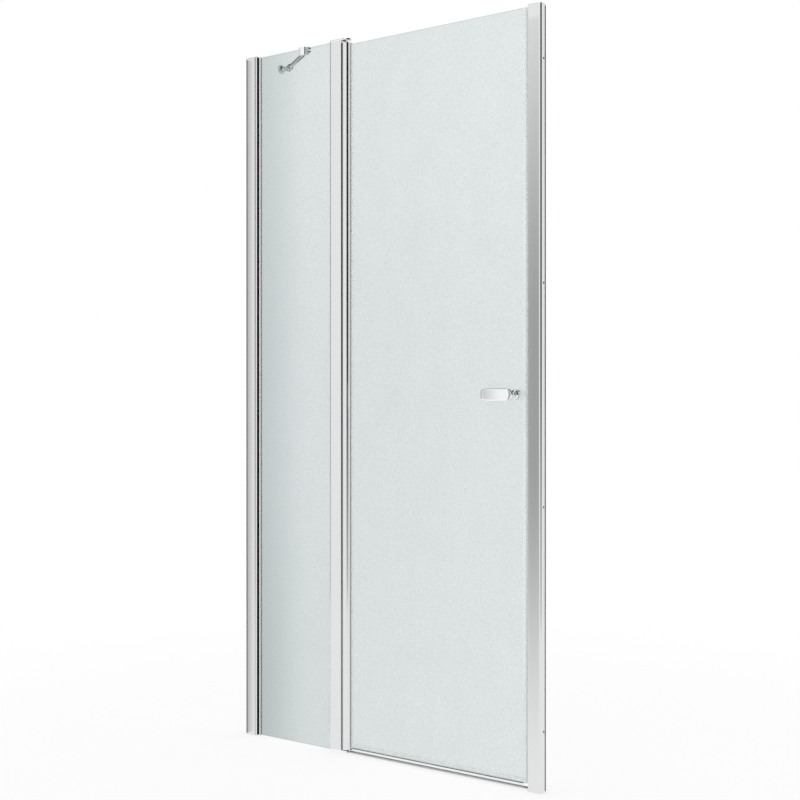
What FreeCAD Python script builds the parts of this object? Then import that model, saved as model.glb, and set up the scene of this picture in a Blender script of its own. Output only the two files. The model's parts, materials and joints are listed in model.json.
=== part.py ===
import FreeCAD, Part
import math
import os
import re

import Sketcher
from FreeCAD import Placement, Rotation, Vector

# A framed glass shower door for a recess between two walls: a fixed pane on the left, a hinged leaf on
# the right that lifts as it opens outwards, and a brace from the left wall to the top of the fixed pane.
# X runs along the door to the right, Y into the shower, Z up; the origin is on the tray at mid width.

# Driving sizes, lengths in mm and angles in degrees: name, value, meaning.
SIZES = [
    ("opening_width", "1000", "between the two wall faces"),
    ("fixed_side_height", "1950", "tray to the top of the fixed side"),
    ("jamb_drop", "15", "top of the right jamb below the top of the fixed side"),
    ("hinge_from_wall", "369", "left wall to the hinge axis"),
    ("profile_depth", "27", "depth of channels, post and barrel"),
    ("channel_width", "36", "wall channel, out from the wall"),
    ("channel_wall", "1.6", "wall channel metal"),
    ("channel_radius", "5", "wall channel corner at the wall"),
    ("slide_clearance", "0.3", "sliding profile in its wall channel"),
    ("wall_hole_radius", "2.75", "hole for a wall screw"),
    ("wall_hole_first", "150", "lowest wall hole above the tray"),
    ("wall_hole_last", "133", "highest wall hole below the top of the right channel"),
    ("inner_wall", "1.5", "metal of the sliding profiles"),
    ("inner_tail", "12", "hidden end of a sliding profile from its wall"),
    ("glazing_reach", "43", "left wall to the face of the glazing profile"),
    ("strike_reach", "38.5", "right wall to the face of the strike profile"),
    ("slot_return", "10", "length of the lips that hold the glazing gasket"),
    ("channel_cap_thickness", "2", "top cap of a wall channel"),
    ("channel_cap_bevel", "1", "bevelled rim of that cap"),
    ("cap_plug", "12", "plug under that cap"),
    ("cap_fit", "0.25", "that plug in the channel"),
    ("lock_from_wall", "19.5", "lock screw from its wall"),
    ("lock_first", "300", "lowest lock screw above the tray"),
    ("lock_last", "333", "highest lock screw below the top of the right channel"),
    ("screw_radius", "1.6", "screw shank"),
    ("screw_clearance", "0.2", "screw shank in a through hole"),
    ("screw_head_radius", "3.2", "screw head"),
    ("screw_head", "2.2", "screw head height"),
    ("lock_screw_length", "9", "lock screw with its head"),
    ("end_screw_length", "22", "screw at the post's ends with its head"),
    ("socket_radius", "1.6", "hexagon recess of a screw, to its corners"),
    ("socket_depth", "1.3", "depth of that recess"),
    ("glass_thickness", "6", "both panes"),
    ("glass_bevel", "0.5", "ground edges of the panes"),
    ("glass_hold", "13", "fixed pane behind the face of its profile"),
    ("fixed_glass_floor_gap", "2", "fixed pane above the tray"),
    ("fixed_glass_top_gap", "2.5", "fixed pane below the top of the fixed side"),
    ("stile_glass_hold", "8", "door pane behind the face of its stile"),
    ("door_glass_floor_gap", "16", "door pane above the tray"),
    ("door_top_drop", "17.5", "door pane below the top of the fixed side"),
    ("door_edge_gap", "9.5", "door pane to the strike profile"),
    ("gasket_wall", "1.2", "gasket beside the glass"),
    ("gasket_base", "1.2", "gasket behind the edge of the glass"),
    ("gasket_lip_length", "8", "gasket lip along the glass"),
    ("gasket_lip", "1.8", "gasket lip where it starts"),
    ("gasket_tip", "0.6", "gasket lip where it ends"),
    ("gasket_cover", "0.8", "glazing gasket over the face of its profile"),
    ("seat_gap", "0.3", "room behind a seated piece"),
    ("post_reach", "52", "hinge axis to the left face of the post"),
    ("post_radius", "8", "left corners of the post"),
    ("post_wall", "2", "metal of the post"),
    ("turning_clearance", "0.3", "round turning pieces in their recess"),
    ("lip_clearance", "0.4", "open leaf past the lip of the post"),
    ("port_edge", "4.4", "screw port to the face of the post"),
    ("port_radius", "3.4", "wall round a screw port"),
    ("port_gap", "0.1", "screw shank in its port"),
    ("cap_thickness", "5", "top cap of the hinge"),
    ("cap_bevel", "1", "bevelled rim of that cap"),
    ("foot_thickness", "8", "foot under the hinge"),
    ("foot_floor", "1.5", "floor under the pivot pin"),
    ("stile_floor_gap", "1.5", "stile above the foot"),
    ("stile_wall", "1.5", "metal of the stile"),
    ("nose_wall", "1.5", "metal beside the slot of the stile"),
    ("rib_start_angle", "75", "hollow of the barrel begins"),
    ("rib_end_angle", "172", "hollow of the barrel ends at the middle rib"),
    ("swing_angle", "95", "opening of the leaf"),
    ("door_lift", "5", "rise of the leaf over that opening"),
    ("lift_margin", "0.7", "room left above the raised leaf"),
    ("pin_radius", "3", "hinge pins"),
    ("running_clearance", "0.05", "hinge pins in their bushes"),
    ("press_gap", "0.05", "pieces pressed into a bore"),
    ("pin_square_share", "1.4", "square end of the pivot pin over its radius"),
    ("pin_gap", "0.2", "ends of the pivot pin"),
    ("top_pin_length", "38", "top pin"),
    ("top_pin_cover", "2", "cap above the top pin"),
    ("bush_length", "22", "top bush in the stile"),
    ("bush_flange", "1.5", "flange of the top bush"),
    ("bush_flange_radius", "8.5", "that flange"),
    ("cam_radius", "5.2", "both cams"),
    ("cam_base", "3", "square base of the lower cam in the foot"),
    ("cam_collar", "4", "plain ring below the ramp"),
    ("cam_body", "14", "upper cam above its ramp"),
    ("cam_socket", "9", "square hole in the upper cam"),
    ("cam_gap", "0.3", "between the two ramps"),
    ("cam_turn", "2", "angle left between the steps of the ramps"),
    ("magnet_width", "6", "magnet strips across the door"),
    ("magnet_thickness", "4", "magnet strips along the door"),
    ("magnet_fit", "0.1", "magnet strips in their pockets"),
    ("magnet_gap", "0.8", "between the two closed magnet faces"),
    ("magnet_skin", "0.9", "seal in front of the door magnet"),
    ("magnet_top_gap", "5", "strike magnet below its cap"),
    ("seal_wall", "1.2", "clip-on seals beside the glass"),
    ("magnet_leg", "10", "magnet seal along the glass"),
    ("seal_leg", "12", "bottom seal up the glass"),
    ("seal_fin", "1.2", "fins of the bottom seal"),
    ("drip_reach", "9", "drip fin into the shower"),
    ("drip_drop", "5", "drip fin below the glass"),
    ("sill_gap", "0.5", "bottom seal above the threshold"),
    ("sill_height", "7", "threshold strip"),
    ("sill_front", "12.5", "threshold strip in front of the glass"),
    ("sill_back", "12.5", "threshold strip behind the glass"),
    ("sill_crest", "3", "flat top of the strip behind the glass"),
    ("sill_lip", "2", "back edge of the strip"),
    ("sill_bevel", "2.5", "front edge of the strip"),
    ("handle_from_edge", "35", "handle stem to the free edge of the pane"),
    ("handle_height", "976", "handle stem above the tray"),
    ("handle_reach", "80", "stem to the free end of the grip"),
    ("grip_radius", "16", "round end of the grip, half its height"),
    ("grip_corner", "8", "corners at the free end of the grip"),
    ("grip_thickness", "8", "grip plate"),
    ("grip_bevel", "1.5", "front rim of the grip"),
    ("grip_stand_off", "30", "grip to the glass"),
    ("stem_foot_radius", "12", "foot of the stem"),
    ("stem_foot", "5", "height of that foot"),
    ("stem_radius", "8", "stem"),
    ("handle_hole_radius", "6", "hole in the door pane"),
    ("handle_bolt_radius", "2.45", "bolt through the door pane"),
    ("bolt_gap", "0.1", "bolt in its holes"),
    ("bolt_reach", "12", "bolt into stem"),
    ("knob_bolt_reach", "7", "bolt into knob"),
    ("washer_thickness", "0.8", "washers on the glass"),
    ("knob_height", "11", "knob on the shower side"),
    ("brace_wall_y", "138", "rosette into the shower from the glass"),
    ("brace_drop", "3", "brace below the top of the fixed side"),
    ("brace_eye_from_wall", "34", "wall to the first brace joint"),
    ("brace_clamp_from_wall", "211", "wall to the clamp on the fixed pane"),
    ("clamp_eye_y", "21", "second brace joint from the glass"),
    ("rosette_radius", "13", "rosette on the wall"),
    ("rosette_rim", "4", "thickness of the rosette"),
    ("rosette_neck_radius", "6", "neck of the rosette"),
    ("stud_radius", "3", "threaded hole for the wall stud"),
    ("stud_depth", "12", "depth of that hole"),
    ("eye_radius", "6", "flat eyes of the brace joints"),
    ("eye_thickness", "6", "those eyes"),
    ("eye_clear", "13", "joint to the nearest shoulder"),
    ("fork_radius", "9", "fork ends of the rod"),
    ("fork_over", "7.5", "fork past its pin"),
    ("fork_length", "15", "fork from its pin to the rod"),
    ("fork_slot_depth", "7.5", "fork slot behind its pin"),
    ("fork_clearance", "0.2", "eye in its fork"),
    ("rod_radius", "6", "brace rod"),
    ("brace_pin_radius", "3", "pins of the brace joints"),
    ("brace_pin_clearance", "0.05", "those pins in their holes"),
    ("brace_pin_inset", "0.5", "those pins below the fork's round"),
    ("clamp_width", "22", "clamp along the glass"),
    ("clamp_wall", "4", "jaws of the clamp"),
    ("clamp_roof", "3", "clamp above the glass"),
    ("clamp_grip", "18", "clamp down the glass"),
    ("clamp_pad", "0.8", "soft pad in the clamp"),
    ("clamp_screw_radius", "2.4", "clamp screw"),
    ("clamp_screw_drop", "13.5", "clamp screw below the top of the glass"),
    ("overrun", "2", "cuts run past the metal"),
]

# Places and fits that follow from the sizes.
PLACES = [
    ("left_wall_x", "-opening_width / 2"),
    ("right_wall_x", "opening_width / 2"),
    ("hinge_x", "left_wall_x + hinge_from_wall"),
    ("half_depth", "profile_depth / 2"),
    ("half_glass", "glass_thickness / 2"),
    ("slot_half", "half_glass + gasket_wall"),
    ("slot_depth", "glass_hold + gasket_base + seat_gap"),
    ("stile_slot_depth", "stile_glass_hold + gasket_base + seat_gap"),
    ("channel_inner", "half_depth - channel_wall"),
    ("inner_half", "channel_inner - slide_clearance"),
    ("cover_half", "inner_half - seat_gap"),
    ("channel_top_z", "fixed_side_height - channel_cap_thickness"),
    ("jamb_top_z", "channel_top_z - jamb_drop"),
    ("wall_hole_spacing", "(jamb_top_z - wall_hole_first - wall_hole_last) / 3"),
    ("lock_spacing", "(jamb_top_z - lock_first - lock_last) / 2"),
    ("glazing_face_x", "left_wall_x + glazing_reach"),
    ("glazing_web", "glazing_reach - slot_depth"),
    ("strike_face_x", "right_wall_x - strike_reach"),
    ("screw_hole_radius", "screw_radius + screw_clearance"),
    ("post_left_x", "hinge_x - post_reach"),
    ("recess_radius", "half_depth + turning_clearance"),
    ("nose_half", "slot_half + nose_wall"),
    ("post_lip", "(nose_half - half_depth * cos(swing_angle)) / sin(swing_angle) + lip_clearance"),
    ("recess_tip", "sqrt(recess_radius ^ 2 - post_lip ^ 2)"),
    ("lip_round", "(half_depth - recess_tip) / 2"),
    ("port_x", "(slot_depth - post_reach - recess_radius) / 2"),
    ("port_y", "half_depth - port_edge"),
    ("stile_bore", "cam_radius + turning_clearance"),
    ("stile_slot", "stile_bore + stile_wall"),
    ("nose_reach", "stile_slot + stile_slot_depth"),
    ("nose_start", "sqrt(half_depth ^ 2 - nose_half ^ 2)"),
    ("hollow_outer", "half_depth - stile_wall"),
    ("nose_end_x", "hinge_x + nose_reach"),
    ("cap_bottom_z", "fixed_side_height - cap_thickness"),
    ("stile_bottom_z", "foot_thickness + stile_floor_gap"),
    ("stile_top_z", "cap_bottom_z - door_lift - lift_margin - bush_flange"),
    ("pin_bore", "pin_radius + running_clearance"),
    ("pin_square", "pin_square_share * pin_radius"),
    ("lead", "door_lift * 360 / swing_angle"),
    ("ramp", "lead / 2"),
    ("upper_cam_z", "foot_thickness + cam_collar + cam_gap + lead * cam_turn / 360"),
    ("upper_cam_height", "ramp + cam_body"),
    ("socket_z", "upper_cam_z + upper_cam_height - cam_socket"),
    ("fixed_glass_left_x", "glazing_face_x - glass_hold"),
    ("fixed_glass_right_x", "post_left_x + glass_hold"),
    ("fixed_glass_top_z", "fixed_side_height - fixed_glass_top_gap"),
    ("door_glass_left_x", "nose_end_x - stile_glass_hold"),
    ("door_glass_right_x", "strike_face_x - door_edge_gap"),
    ("door_glass_top_z", "fixed_side_height - door_top_drop"),
    ("door_glass_height", "door_glass_top_z - door_glass_floor_gap"),
    ("seal_half", "half_glass + seal_wall"),
    ("magnet_half", "magnet_width / 2 + magnet_fit"),
    ("magnet_pocket", "magnet_thickness + 2 * magnet_fit"),
    ("magnet_seal_end", "door_edge_gap - magnet_gap"),
    ("fin_drop", "door_glass_floor_gap - sill_height - sill_gap"),
    ("sill_start_x", "hinge_x + half_depth"),
    ("bottom_seal_start_x", "nose_end_x + gasket_lip_length + seat_gap"),
    ("bottom_seal_end_x", "door_glass_right_x - magnet_leg - seat_gap"),
    ("handle_x", "door_glass_right_x - handle_from_edge"),
    ("handle_seat", "half_glass + washer_thickness"),
    ("grip_back", "half_glass + grip_stand_off"),
    ("bolt_hole", "handle_bolt_radius + bolt_gap"),
    ("brace_z", "fixed_side_height - brace_drop"),
    ("brace_eye_x", "left_wall_x + brace_eye_from_wall"),
    ("brace_clamp_x", "left_wall_x + brace_clamp_from_wall"),
    ("brace_run_x", "brace_clamp_x - brace_eye_x"),
    ("brace_run_y", "clamp_eye_y - brace_wall_y"),
    ("rod_length", "sqrt(brace_run_x ^ 2 + brace_run_y ^ 2)"),
    ("clamp_inner", "half_glass + clamp_pad"),
    ("clamp_outer", "clamp_inner + clamp_wall"),
    ("clamp_top", "fixed_glass_top_z - brace_z + clamp_pad"),
]

doc = FreeCAD.newDocument("ShowerDoor")
pieces = []


def fill_sheet(name, rows, prefix):
    """A sheet with one row per name, with the value in the second column under that name."""
    sheet = doc.addObject("Spreadsheet::Sheet", name)
    for number, row in enumerate(rows, start=1):
        sheet.set(f"A{number}", row[0])
        sheet.set(f"B{number}", prefix + row[1])
        sheet.setAlias(f"B{number}", row[0])
        if len(row) > 2:
            sheet.set(f"C{number}", row[2])
    doc.recompute()
    return sheet


SIZE_NAMES = {row[0] for row in SIZES}
PLACE_NAMES = {row[0] for row in PLACES}


def bound(text, sheet_of_places="Places."):
    """The text with every size and place written as a reference to its cell."""

    def reference(match):
        word = match.group(0)
        if word in SIZE_NAMES:
            return "Sizes." + word
        if word in PLACE_NAMES:
            return sheet_of_places + word
        return word

    return re.sub(r"[a-z_]+", reference, text)


sizes = fill_sheet("Sizes", SIZES, "")
fill_sheet("Places", [(name, bound(text, "")) for name, text in PLACES], "=")


def value(text):
    """The number that a text of sizes and places stands for."""
    return float(sizes.evalExpression(bound(text)))


def bind(item, prop, text):
    """Ties a property to the sheets."""
    item.setExpression(prop, bound(text))


def new_body(label, place, turn=None):
    """An empty body at its place, turned about an axis if it has to be."""
    body = doc.addObject("PartDesign::Body", label)
    body.Label = label
    if turn:
        body.Placement = Placement(Vector(), Rotation(turn[0], turn[1]))
    for axis, text in zip("xyz", place):
        bind(body, f"Placement.Base.{axis}", text)
    pieces.append(body)
    return body


def origin_part(body, role):
    """One of the body's own planes or axes."""
    return next(part for part in body.Origin.OriginFeatures if part.Role == role)


def new_sketch(body, role, lift="0"):
    """A sketch on one of the body's planes, lifted off it along the plane's normal."""
    sketch = body.newObject("Sketcher::SketchObject", "Sketch")
    sketch.AttachmentSupport = [(origin_part(body, role), "")]
    sketch.MapMode = "FlatFace"
    bind(sketch, "AttachmentOffset.Base.z", lift)
    return sketch


def tie_points(sketch, ties):
    """Distances from the sketch's origin, each tied to the sheets: geometry, point, x or y, text."""
    rules = [
        Sketcher.Constraint(f"Distance{axis}", -1, 1, item, point, value(text))
        for item, point, axis, text in ties
    ]
    first = sketch.ConstraintCount
    sketch.addConstraint(rules)
    for number, tie in enumerate(ties, start=first):
        bind(sketch, f"Constraints[{number}]", tie[3])


def draw(sketch, corners):
    """A closed outline of corners (x, y); an arc leaves a corner (x, y, centre x, centre y, turn)."""
    spots = [Vector(value(corner[0]), value(corner[1]), 0) for corner in corners]
    sides = []
    ties = []
    for number, corner in enumerate(corners):
        start = spots[number]
        end = spots[(number + 1) % len(spots)]
        if len(corner) == 2:
            item = sketch.addGeometry(Part.LineSegment(start, end))
            sides.append((item, 1, 2))
        else:
            centre = Vector(value(corner[2]), value(corner[3]), 0)
            onward = corner[4] == "left"
            rays = [start - centre, end - centre] if onward else [end - centre, start - centre]
            begin, finish = [math.atan2(ray.y, ray.x) for ray in rays]
            if finish <= begin:
                finish += 2 * math.pi
            circle = Part.Circle(centre, Vector(0, 0, 1), rays[0].Length)
            item = sketch.addGeometry(Part.ArcOfCircle(circle, begin, finish))
            sides.append((item, 1, 2) if onward else (item, 2, 1))
            chord = end - start
            upright = abs(chord.y) >= abs(chord.x)
            ties.append((item, 3, "X", corner[2]) if upright else (item, 3, "Y", corner[3]))
        ties.append((item, sides[-1][1], "X", corner[0]))
        ties.append((item, sides[-1][1], "Y", corner[1]))
    sketch.addConstraint(
        [
            Sketcher.Constraint("Coincident", side[0], side[2], after[0], after[1])
            for side, after in zip(sides, sides[1:] + sides[:1])
        ]
    )
    tie_points(sketch, ties)


def draw_circle(sketch, centre_x, centre_y, radius):
    """A circle tied to the sheets."""
    centre = Vector(value(centre_x), value(centre_y), 0)
    item = sketch.addGeometry(Part.Circle(centre, Vector(0, 0, 1), value(radius)))
    tie_points(sketch, [(item, 3, "X", centre_x), (item, 3, "Y", centre_y)])
    rule = sketch.addConstraint(Sketcher.Constraint("Radius", item, value(radius)))
    bind(sketch, f"Constraints[{rule}]", radius)


def box(left, low, right, high):
    """The corners of an upright rectangle."""
    return [(left, low), (right, low), (right, high), (left, high)]


def add_pad(body, sketch, length, both=False, back=False):
    """Material along the sketch's normal, against it, or half to each side."""
    pad = body.newObject("PartDesign::Pad", "Pad")
    pad.Profile = sketch
    if both:
        pad.SideType = "Symmetric"
    pad.Reversed = back
    bind(pad, "Length", length)
    doc.recompute()
    return pad


def cut_check(body, feature):
    """A cut that takes nothing away points the wrong way."""
    doc.recompute()
    if feature.Shape.Volume >= feature.BaseFeature.Shape.Volume:
        raise ValueError(f"a cut in {body.Label} removes nothing")
    return feature


def add_pocket(body, sketch, length=None, both=False, onward=False):
    """A cut against the sketch's normal, or along it; without a length it goes right through."""
    pocket = body.newObject("PartDesign::Pocket", "Pocket")
    pocket.Profile = sketch
    if both:
        pocket.SideType = "Symmetric"
    pocket.Reversed = onward
    if length is None:
        pocket.Type = "ThroughAll"
    else:
        bind(pocket, "Length", length)
    return cut_check(body, pocket)


def add_turned(body, sketch, axis):
    """Material turned about one of the sketch's axes."""
    turned = body.newObject("PartDesign::Revolution", "Revolution")
    turned.Profile = sketch
    turned.ReferenceAxis = (sketch, [axis])
    turned.Angle = 360
    doc.recompute()
    return turned


def add_row(body, features, axis, spacing, count):
    """Copies of features in a row along one of the body's axes."""
    row = body.newObject("PartDesign::LinearPattern", "Row")
    row.Originals = features
    row.Direction = (origin_part(body, axis), [""])
    bind(row, "Length", f"{count - 1} * ({spacing})")
    row.Occurrences = count
    body.Tip = row
    doc.recompute()
    return row


def farthest_face(feature, direction):
    """The name of the face whose centre lies farthest along a direction."""
    faces = feature.Shape.Faces
    best = max(range(len(faces)), key=lambda number: faces[number].CenterOfMass.dot(direction))
    return f"Face{best + 1}"


def bevel_face(body, feature, direction, size):
    """Bevels the rim of the face that lies farthest along a direction."""
    bevel = body.newObject("PartDesign::Chamfer", "Bevel")
    bevel.Base = (feature, [farthest_face(feature, direction)])
    bind(bevel, "Size", size)
    doc.recompute()
    return bevel


def extrusion(label, corners, length, place, turn=None, role="XY_Plane"):
    """A body with one outline drawn out to a length."""
    body = new_body(label, place, turn)
    sketch = new_sketch(body, role)
    draw(sketch, corners)
    add_pad(body, sketch, length)
    return body


def turning(label, corners, place, turn=None):
    """A body turned about its own Z axis from an outline of radius and height."""
    body = new_body(label, place, turn)
    sketch = new_sketch(body, "XZ_Plane")
    draw(sketch, corners)
    add_turned(body, sketch, "V_Axis")
    return body


HALF_TURN = (Vector(0, 0, 1), 180)
UPSIDE_DOWN = (Vector(1, 0, 0), 180)
TO_OUTSIDE = (Vector(1, 0, 0), 90)
TO_INSIDE = (Vector(1, 0, 0), -90)
LOCK_COUNT = 3
WALL_HOLE_COUNT = 4


def lock_holes(body, mirrored):
    """Holes for the lock screws, on the shower side only."""
    sketch = new_sketch(body, "XZ_Plane")
    draw_circle(sketch, "lock_from_wall", "lock_first", "screw_hole_radius")
    hole = add_pocket(body, sketch, onward=mirrored)
    add_row(body, [hole], "Z_Axis", "lock_spacing", LOCK_COUNT)


def wall_channel(label, wall_x, turn, height):
    """An open U section whose web lies on the wall, with screw holes in the web."""
    corners = [
        ("0", "channel_radius - half_depth", "channel_radius", "channel_radius - half_depth", "left"),
        ("channel_radius", "-half_depth"),
        ("channel_width", "-half_depth"),
        ("channel_width", "-channel_inner"),
        ("channel_radius", "-channel_inner", "channel_radius", "channel_radius - half_depth", "right"),
        ("channel_wall", "channel_radius - half_depth"),
        ("channel_wall", "half_depth - channel_radius", "channel_radius", "half_depth - channel_radius", "right"),
        ("channel_radius", "channel_inner"),
        ("channel_width", "channel_inner"),
        ("channel_width", "half_depth"),
        ("channel_radius", "half_depth", "channel_radius", "half_depth - channel_radius", "left"),
        ("0", "half_depth - channel_radius"),
    ]
    body = extrusion(label, corners, height, (wall_x, "0", "0"), turn)
    sketch = new_sketch(body, "YZ_Plane")
    draw_circle(sketch, "0", "wall_hole_first", "wall_hole_radius")
    hole = add_pocket(body, sketch, onward=True)
    add_row(body, [hole], "Z_Axis", "wall_hole_spacing", WALL_HOLE_COUNT)
    lock_holes(body, turn is not None)


def channel_cap(label, wall_x, top_z, turn, reach):
    """A cap over a wall channel and its sliding profile, with a plug in the channel."""
    body = new_body(label, (wall_x, "0", top_z), turn)
    plate = new_sketch(body, "XY_Plane")
    corners = [
        ("0", "channel_radius - half_depth", "channel_radius", "channel_radius - half_depth", "left"),
        ("channel_radius", "-half_depth"),
        (reach, "-half_depth"),
        (reach, "half_depth"),
        ("channel_radius", "half_depth", "channel_radius", "half_depth - channel_radius", "left"),
        ("0", "half_depth - channel_radius"),
    ]
    draw(plate, corners)
    pad = add_pad(body, plate, "channel_cap_thickness")
    bevel_face(body, pad, Vector(0, 0, 1), "channel_cap_bevel")
    plug = new_sketch(body, "XY_Plane")
    side = "(channel_inner - cap_fit)"
    draw(plug, box("channel_radius", f"-{side}", "inner_tail - cap_fit", side))
    add_pad(body, plug, "cap_plug", back=True)


def screw_row(label, place, turn, length, spacing, count):
    """Hexagon recess screws in a row along the body's Y, heads up and level with its origin."""
    body = new_body(label, place, turn)
    half = new_sketch(body, "XZ_Plane")
    corners = [
        ("0", "0"),
        ("screw_head_radius", "0"),
        ("screw_head_radius", "-screw_head"),
        ("screw_radius", "-screw_head"),
        ("screw_radius", f"-{length}"),
        ("0", f"-{length}"),
    ]
    draw(half, corners)
    turned = add_turned(body, half, "V_Axis")
    recess = new_sketch(body, "XY_Plane")
    angles = range(0, 360, 60)
    draw(recess, [(f"socket_radius * cos({a})", f"socket_radius * sin({a})") for a in angles])
    pocket = add_pocket(body, recess, "socket_depth")
    add_row(body, [turned, pocket], "Y_Axis", spacing, count)


def lock_set(side, screw_x):
    """Lock screws for one wall channel."""
    top = f"lock_first + {LOCK_COUNT - 1} * lock_spacing"
    place = (screw_x, "half_depth + screw_head", top)
    screw_row(f"{side}_lock_screws", place, TO_INSIDE, "lock_screw_length", "lock_spacing", LOCK_COUNT)


def glass_pane(label, left_x, right_x, low_z, high_z, hole=None):
    """A pane on the glass plane with ground edges."""
    body = new_body(label, ("0", "0", "0"))
    sketch = new_sketch(body, "XZ_Plane")
    draw(sketch, box(left_x, low_z, right_x, high_z))
    if hole:
        draw_circle(sketch, *hole)
    pad = add_pad(body, sketch, "glass_thickness", both=True)
    bevel = body.newObject("PartDesign::Chamfer", "Bevel")
    bevel.Base = (pad, [f"Edge{number + 1}" for number in range(len(pad.Shape.Edges))])
    bind(bevel, "Size", "glass_bevel")


LIP_ROOT = [("0", "-half_glass - gasket_lip")]
COVER_ROOT = [
    ("0", "-cover_half"),
    ("gasket_cover", "-cover_half"),
    ("gasket_cover", "-half_glass - gasket_lip"),
]


def gasket(label, face_x, turn, hold, low_z, high_z, root):
    """A U section round the edge of a pane, with lips that lie on the glass outside the profile."""
    lower = [
        (f"-{hold} - gasket_base", "-slot_half"),
        ("0", "-slot_half"),
        *root,
        ("gasket_lip_length", "-half_glass - gasket_tip"),
        ("gasket_lip_length", "-half_glass"),
        (f"-{hold}", "-half_glass"),
    ]
    upper = [(across, "-(" + side + ")") for across, side in reversed(lower)]
    extrusion(label, lower + upper, f"{high_z} - {low_z}", (face_x, "0", low_z), turn)


def mirrored_outline(lower):
    """An outline drawn up to its middle line, completed by its mirror image."""
    return lower + [(across, "-(" + side + ")") for across, side in reversed(lower)]


# The fixed side on the left wall.
wall_channel("left_wall_channel", "left_wall_x", None, "channel_top_z")
channel_cap("left_channel_cap", "left_wall_x", "channel_top_z", None, "glazing_reach")
glazing_outline = mirrored_outline(
    [
        ("glazing_web - inner_wall", "inner_wall - inner_half"),
        ("inner_tail", "inner_wall - inner_half"),
        ("inner_tail", "-inner_half"),
        ("glazing_reach", "-inner_half"),
        ("glazing_reach", "-slot_half"),
        ("glazing_reach - slot_return", "-slot_half"),
        ("glazing_reach - slot_return", "-slot_half - inner_wall"),
        ("glazing_reach - inner_wall", "-slot_half - inner_wall"),
        ("glazing_reach - inner_wall", "inner_wall - inner_half"),
        ("glazing_web", "inner_wall - inner_half"),
    ]
)
glazing = extrusion("glazing_profile", glazing_outline, "channel_top_z", ("left_wall_x", "0", "0"))
lock_holes(glazing, False)
lock_set("left", "left_wall_x + lock_from_wall")
glass_pane(
    "fixed_glass", "fixed_glass_left_x", "fixed_glass_right_x", "fixed_glass_floor_gap", "fixed_glass_top_z"
)
fixed_edge = ("glass_hold", "fixed_glass_floor_gap", "fixed_glass_top_z")
gasket("glazing_gasket", "glazing_face_x", None, *fixed_edge, COVER_ROOT)
gasket("post_gasket", "post_left_x", HALF_TURN, *fixed_edge, LIP_ROOT)

# The post: a slot for the fixed pane on the left, a round recess for the hinge barrel on the right.
LEFT_CORNER_BACK = (
    "post_radius - post_reach",
    "half_depth",
    "post_radius - post_reach",
    "half_depth - post_radius",
    "left",
)
LEFT_CORNER_FRONT = (
    "-post_reach",
    "post_radius - half_depth",
    "post_radius - post_reach",
    "post_radius - half_depth",
    "left",
)
LEFT_BACK_END = ("-post_reach", "half_depth - post_radius")
LEFT_FRONT_END = ("post_radius - post_reach", "-half_depth")
LEFT_SIDE = [
    LEFT_CORNER_BACK,
    LEFT_BACK_END,
    ("-post_reach", "slot_half"),
    ("slot_depth - post_reach", "slot_half"),
    ("slot_depth - post_reach", "-slot_half"),
    ("-post_reach", "-slot_half"),
    LEFT_CORNER_FRONT,
    LEFT_FRONT_END,
]
post = new_body("hinge_post", ("hinge_x", "0", "foot_thickness"))
post_sketch = new_sketch(post, "XY_Plane")
post_outline = [
    ("-post_lip - lip_round", "-half_depth", "-post_lip - lip_round", "lip_round - half_depth", "left"),
    ("-post_lip", "lip_round - half_depth"),
    ("-post_lip", "-recess_tip", "0", "0", "right"),
    ("-post_lip", "recess_tip"),
    ("-post_lip", "half_depth - lip_round", "-post_lip - lip_round", "half_depth - lip_round", "left"),
    ("-post_lip - lip_round", "half_depth"),
]
draw(post_sketch, post_outline + LEFT_SIDE)
hollow_side = "(half_depth - post_wall)"
hollow_left = "slot_depth + post_wall - post_reach"
draw(post_sketch, box(hollow_left, f"-{hollow_side}", "-recess_radius - post_wall", hollow_side))
add_pad(post, post_sketch, "cap_bottom_z - foot_thickness")
ports = new_sketch(post, "XY_Plane")
bores = new_sketch(post, "XY_Plane")
for side in ("-", ""):
    draw_circle(ports, "port_x", f"{side}port_y", "port_radius")
    draw_circle(bores, "port_x", f"{side}port_y", "screw_radius + port_gap")
add_pad(post, ports, "cap_bottom_z - foot_thickness")
add_pocket(post, bores, onward=True)


def hinge_end(label, low_z, thickness, right_side):
    """A plate over one end of the post that reaches over the hinge barrel."""
    body = new_body(label, ("hinge_x", "0", low_z))
    sketch = new_sketch(body, "XY_Plane")
    draw(sketch, right_side + LEFT_SIDE)
    pad = add_pad(body, sketch, thickness)
    return body, pad


def screw_seats(body, face_lift, from_below):
    """Through holes and head seats for the two screws of a plate."""
    holes = new_sketch(body, "XY_Plane", face_lift)
    seats = new_sketch(body, "XY_Plane", face_lift)
    for side in ("-", ""):
        draw_circle(holes, "port_x", f"{side}port_y", "screw_hole_radius")
        draw_circle(seats, "port_x", f"{side}port_y", "screw_head_radius + screw_clearance")
    add_pocket(body, holes, onward=from_below)
    add_pocket(body, seats, "screw_head", onward=from_below)


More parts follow.
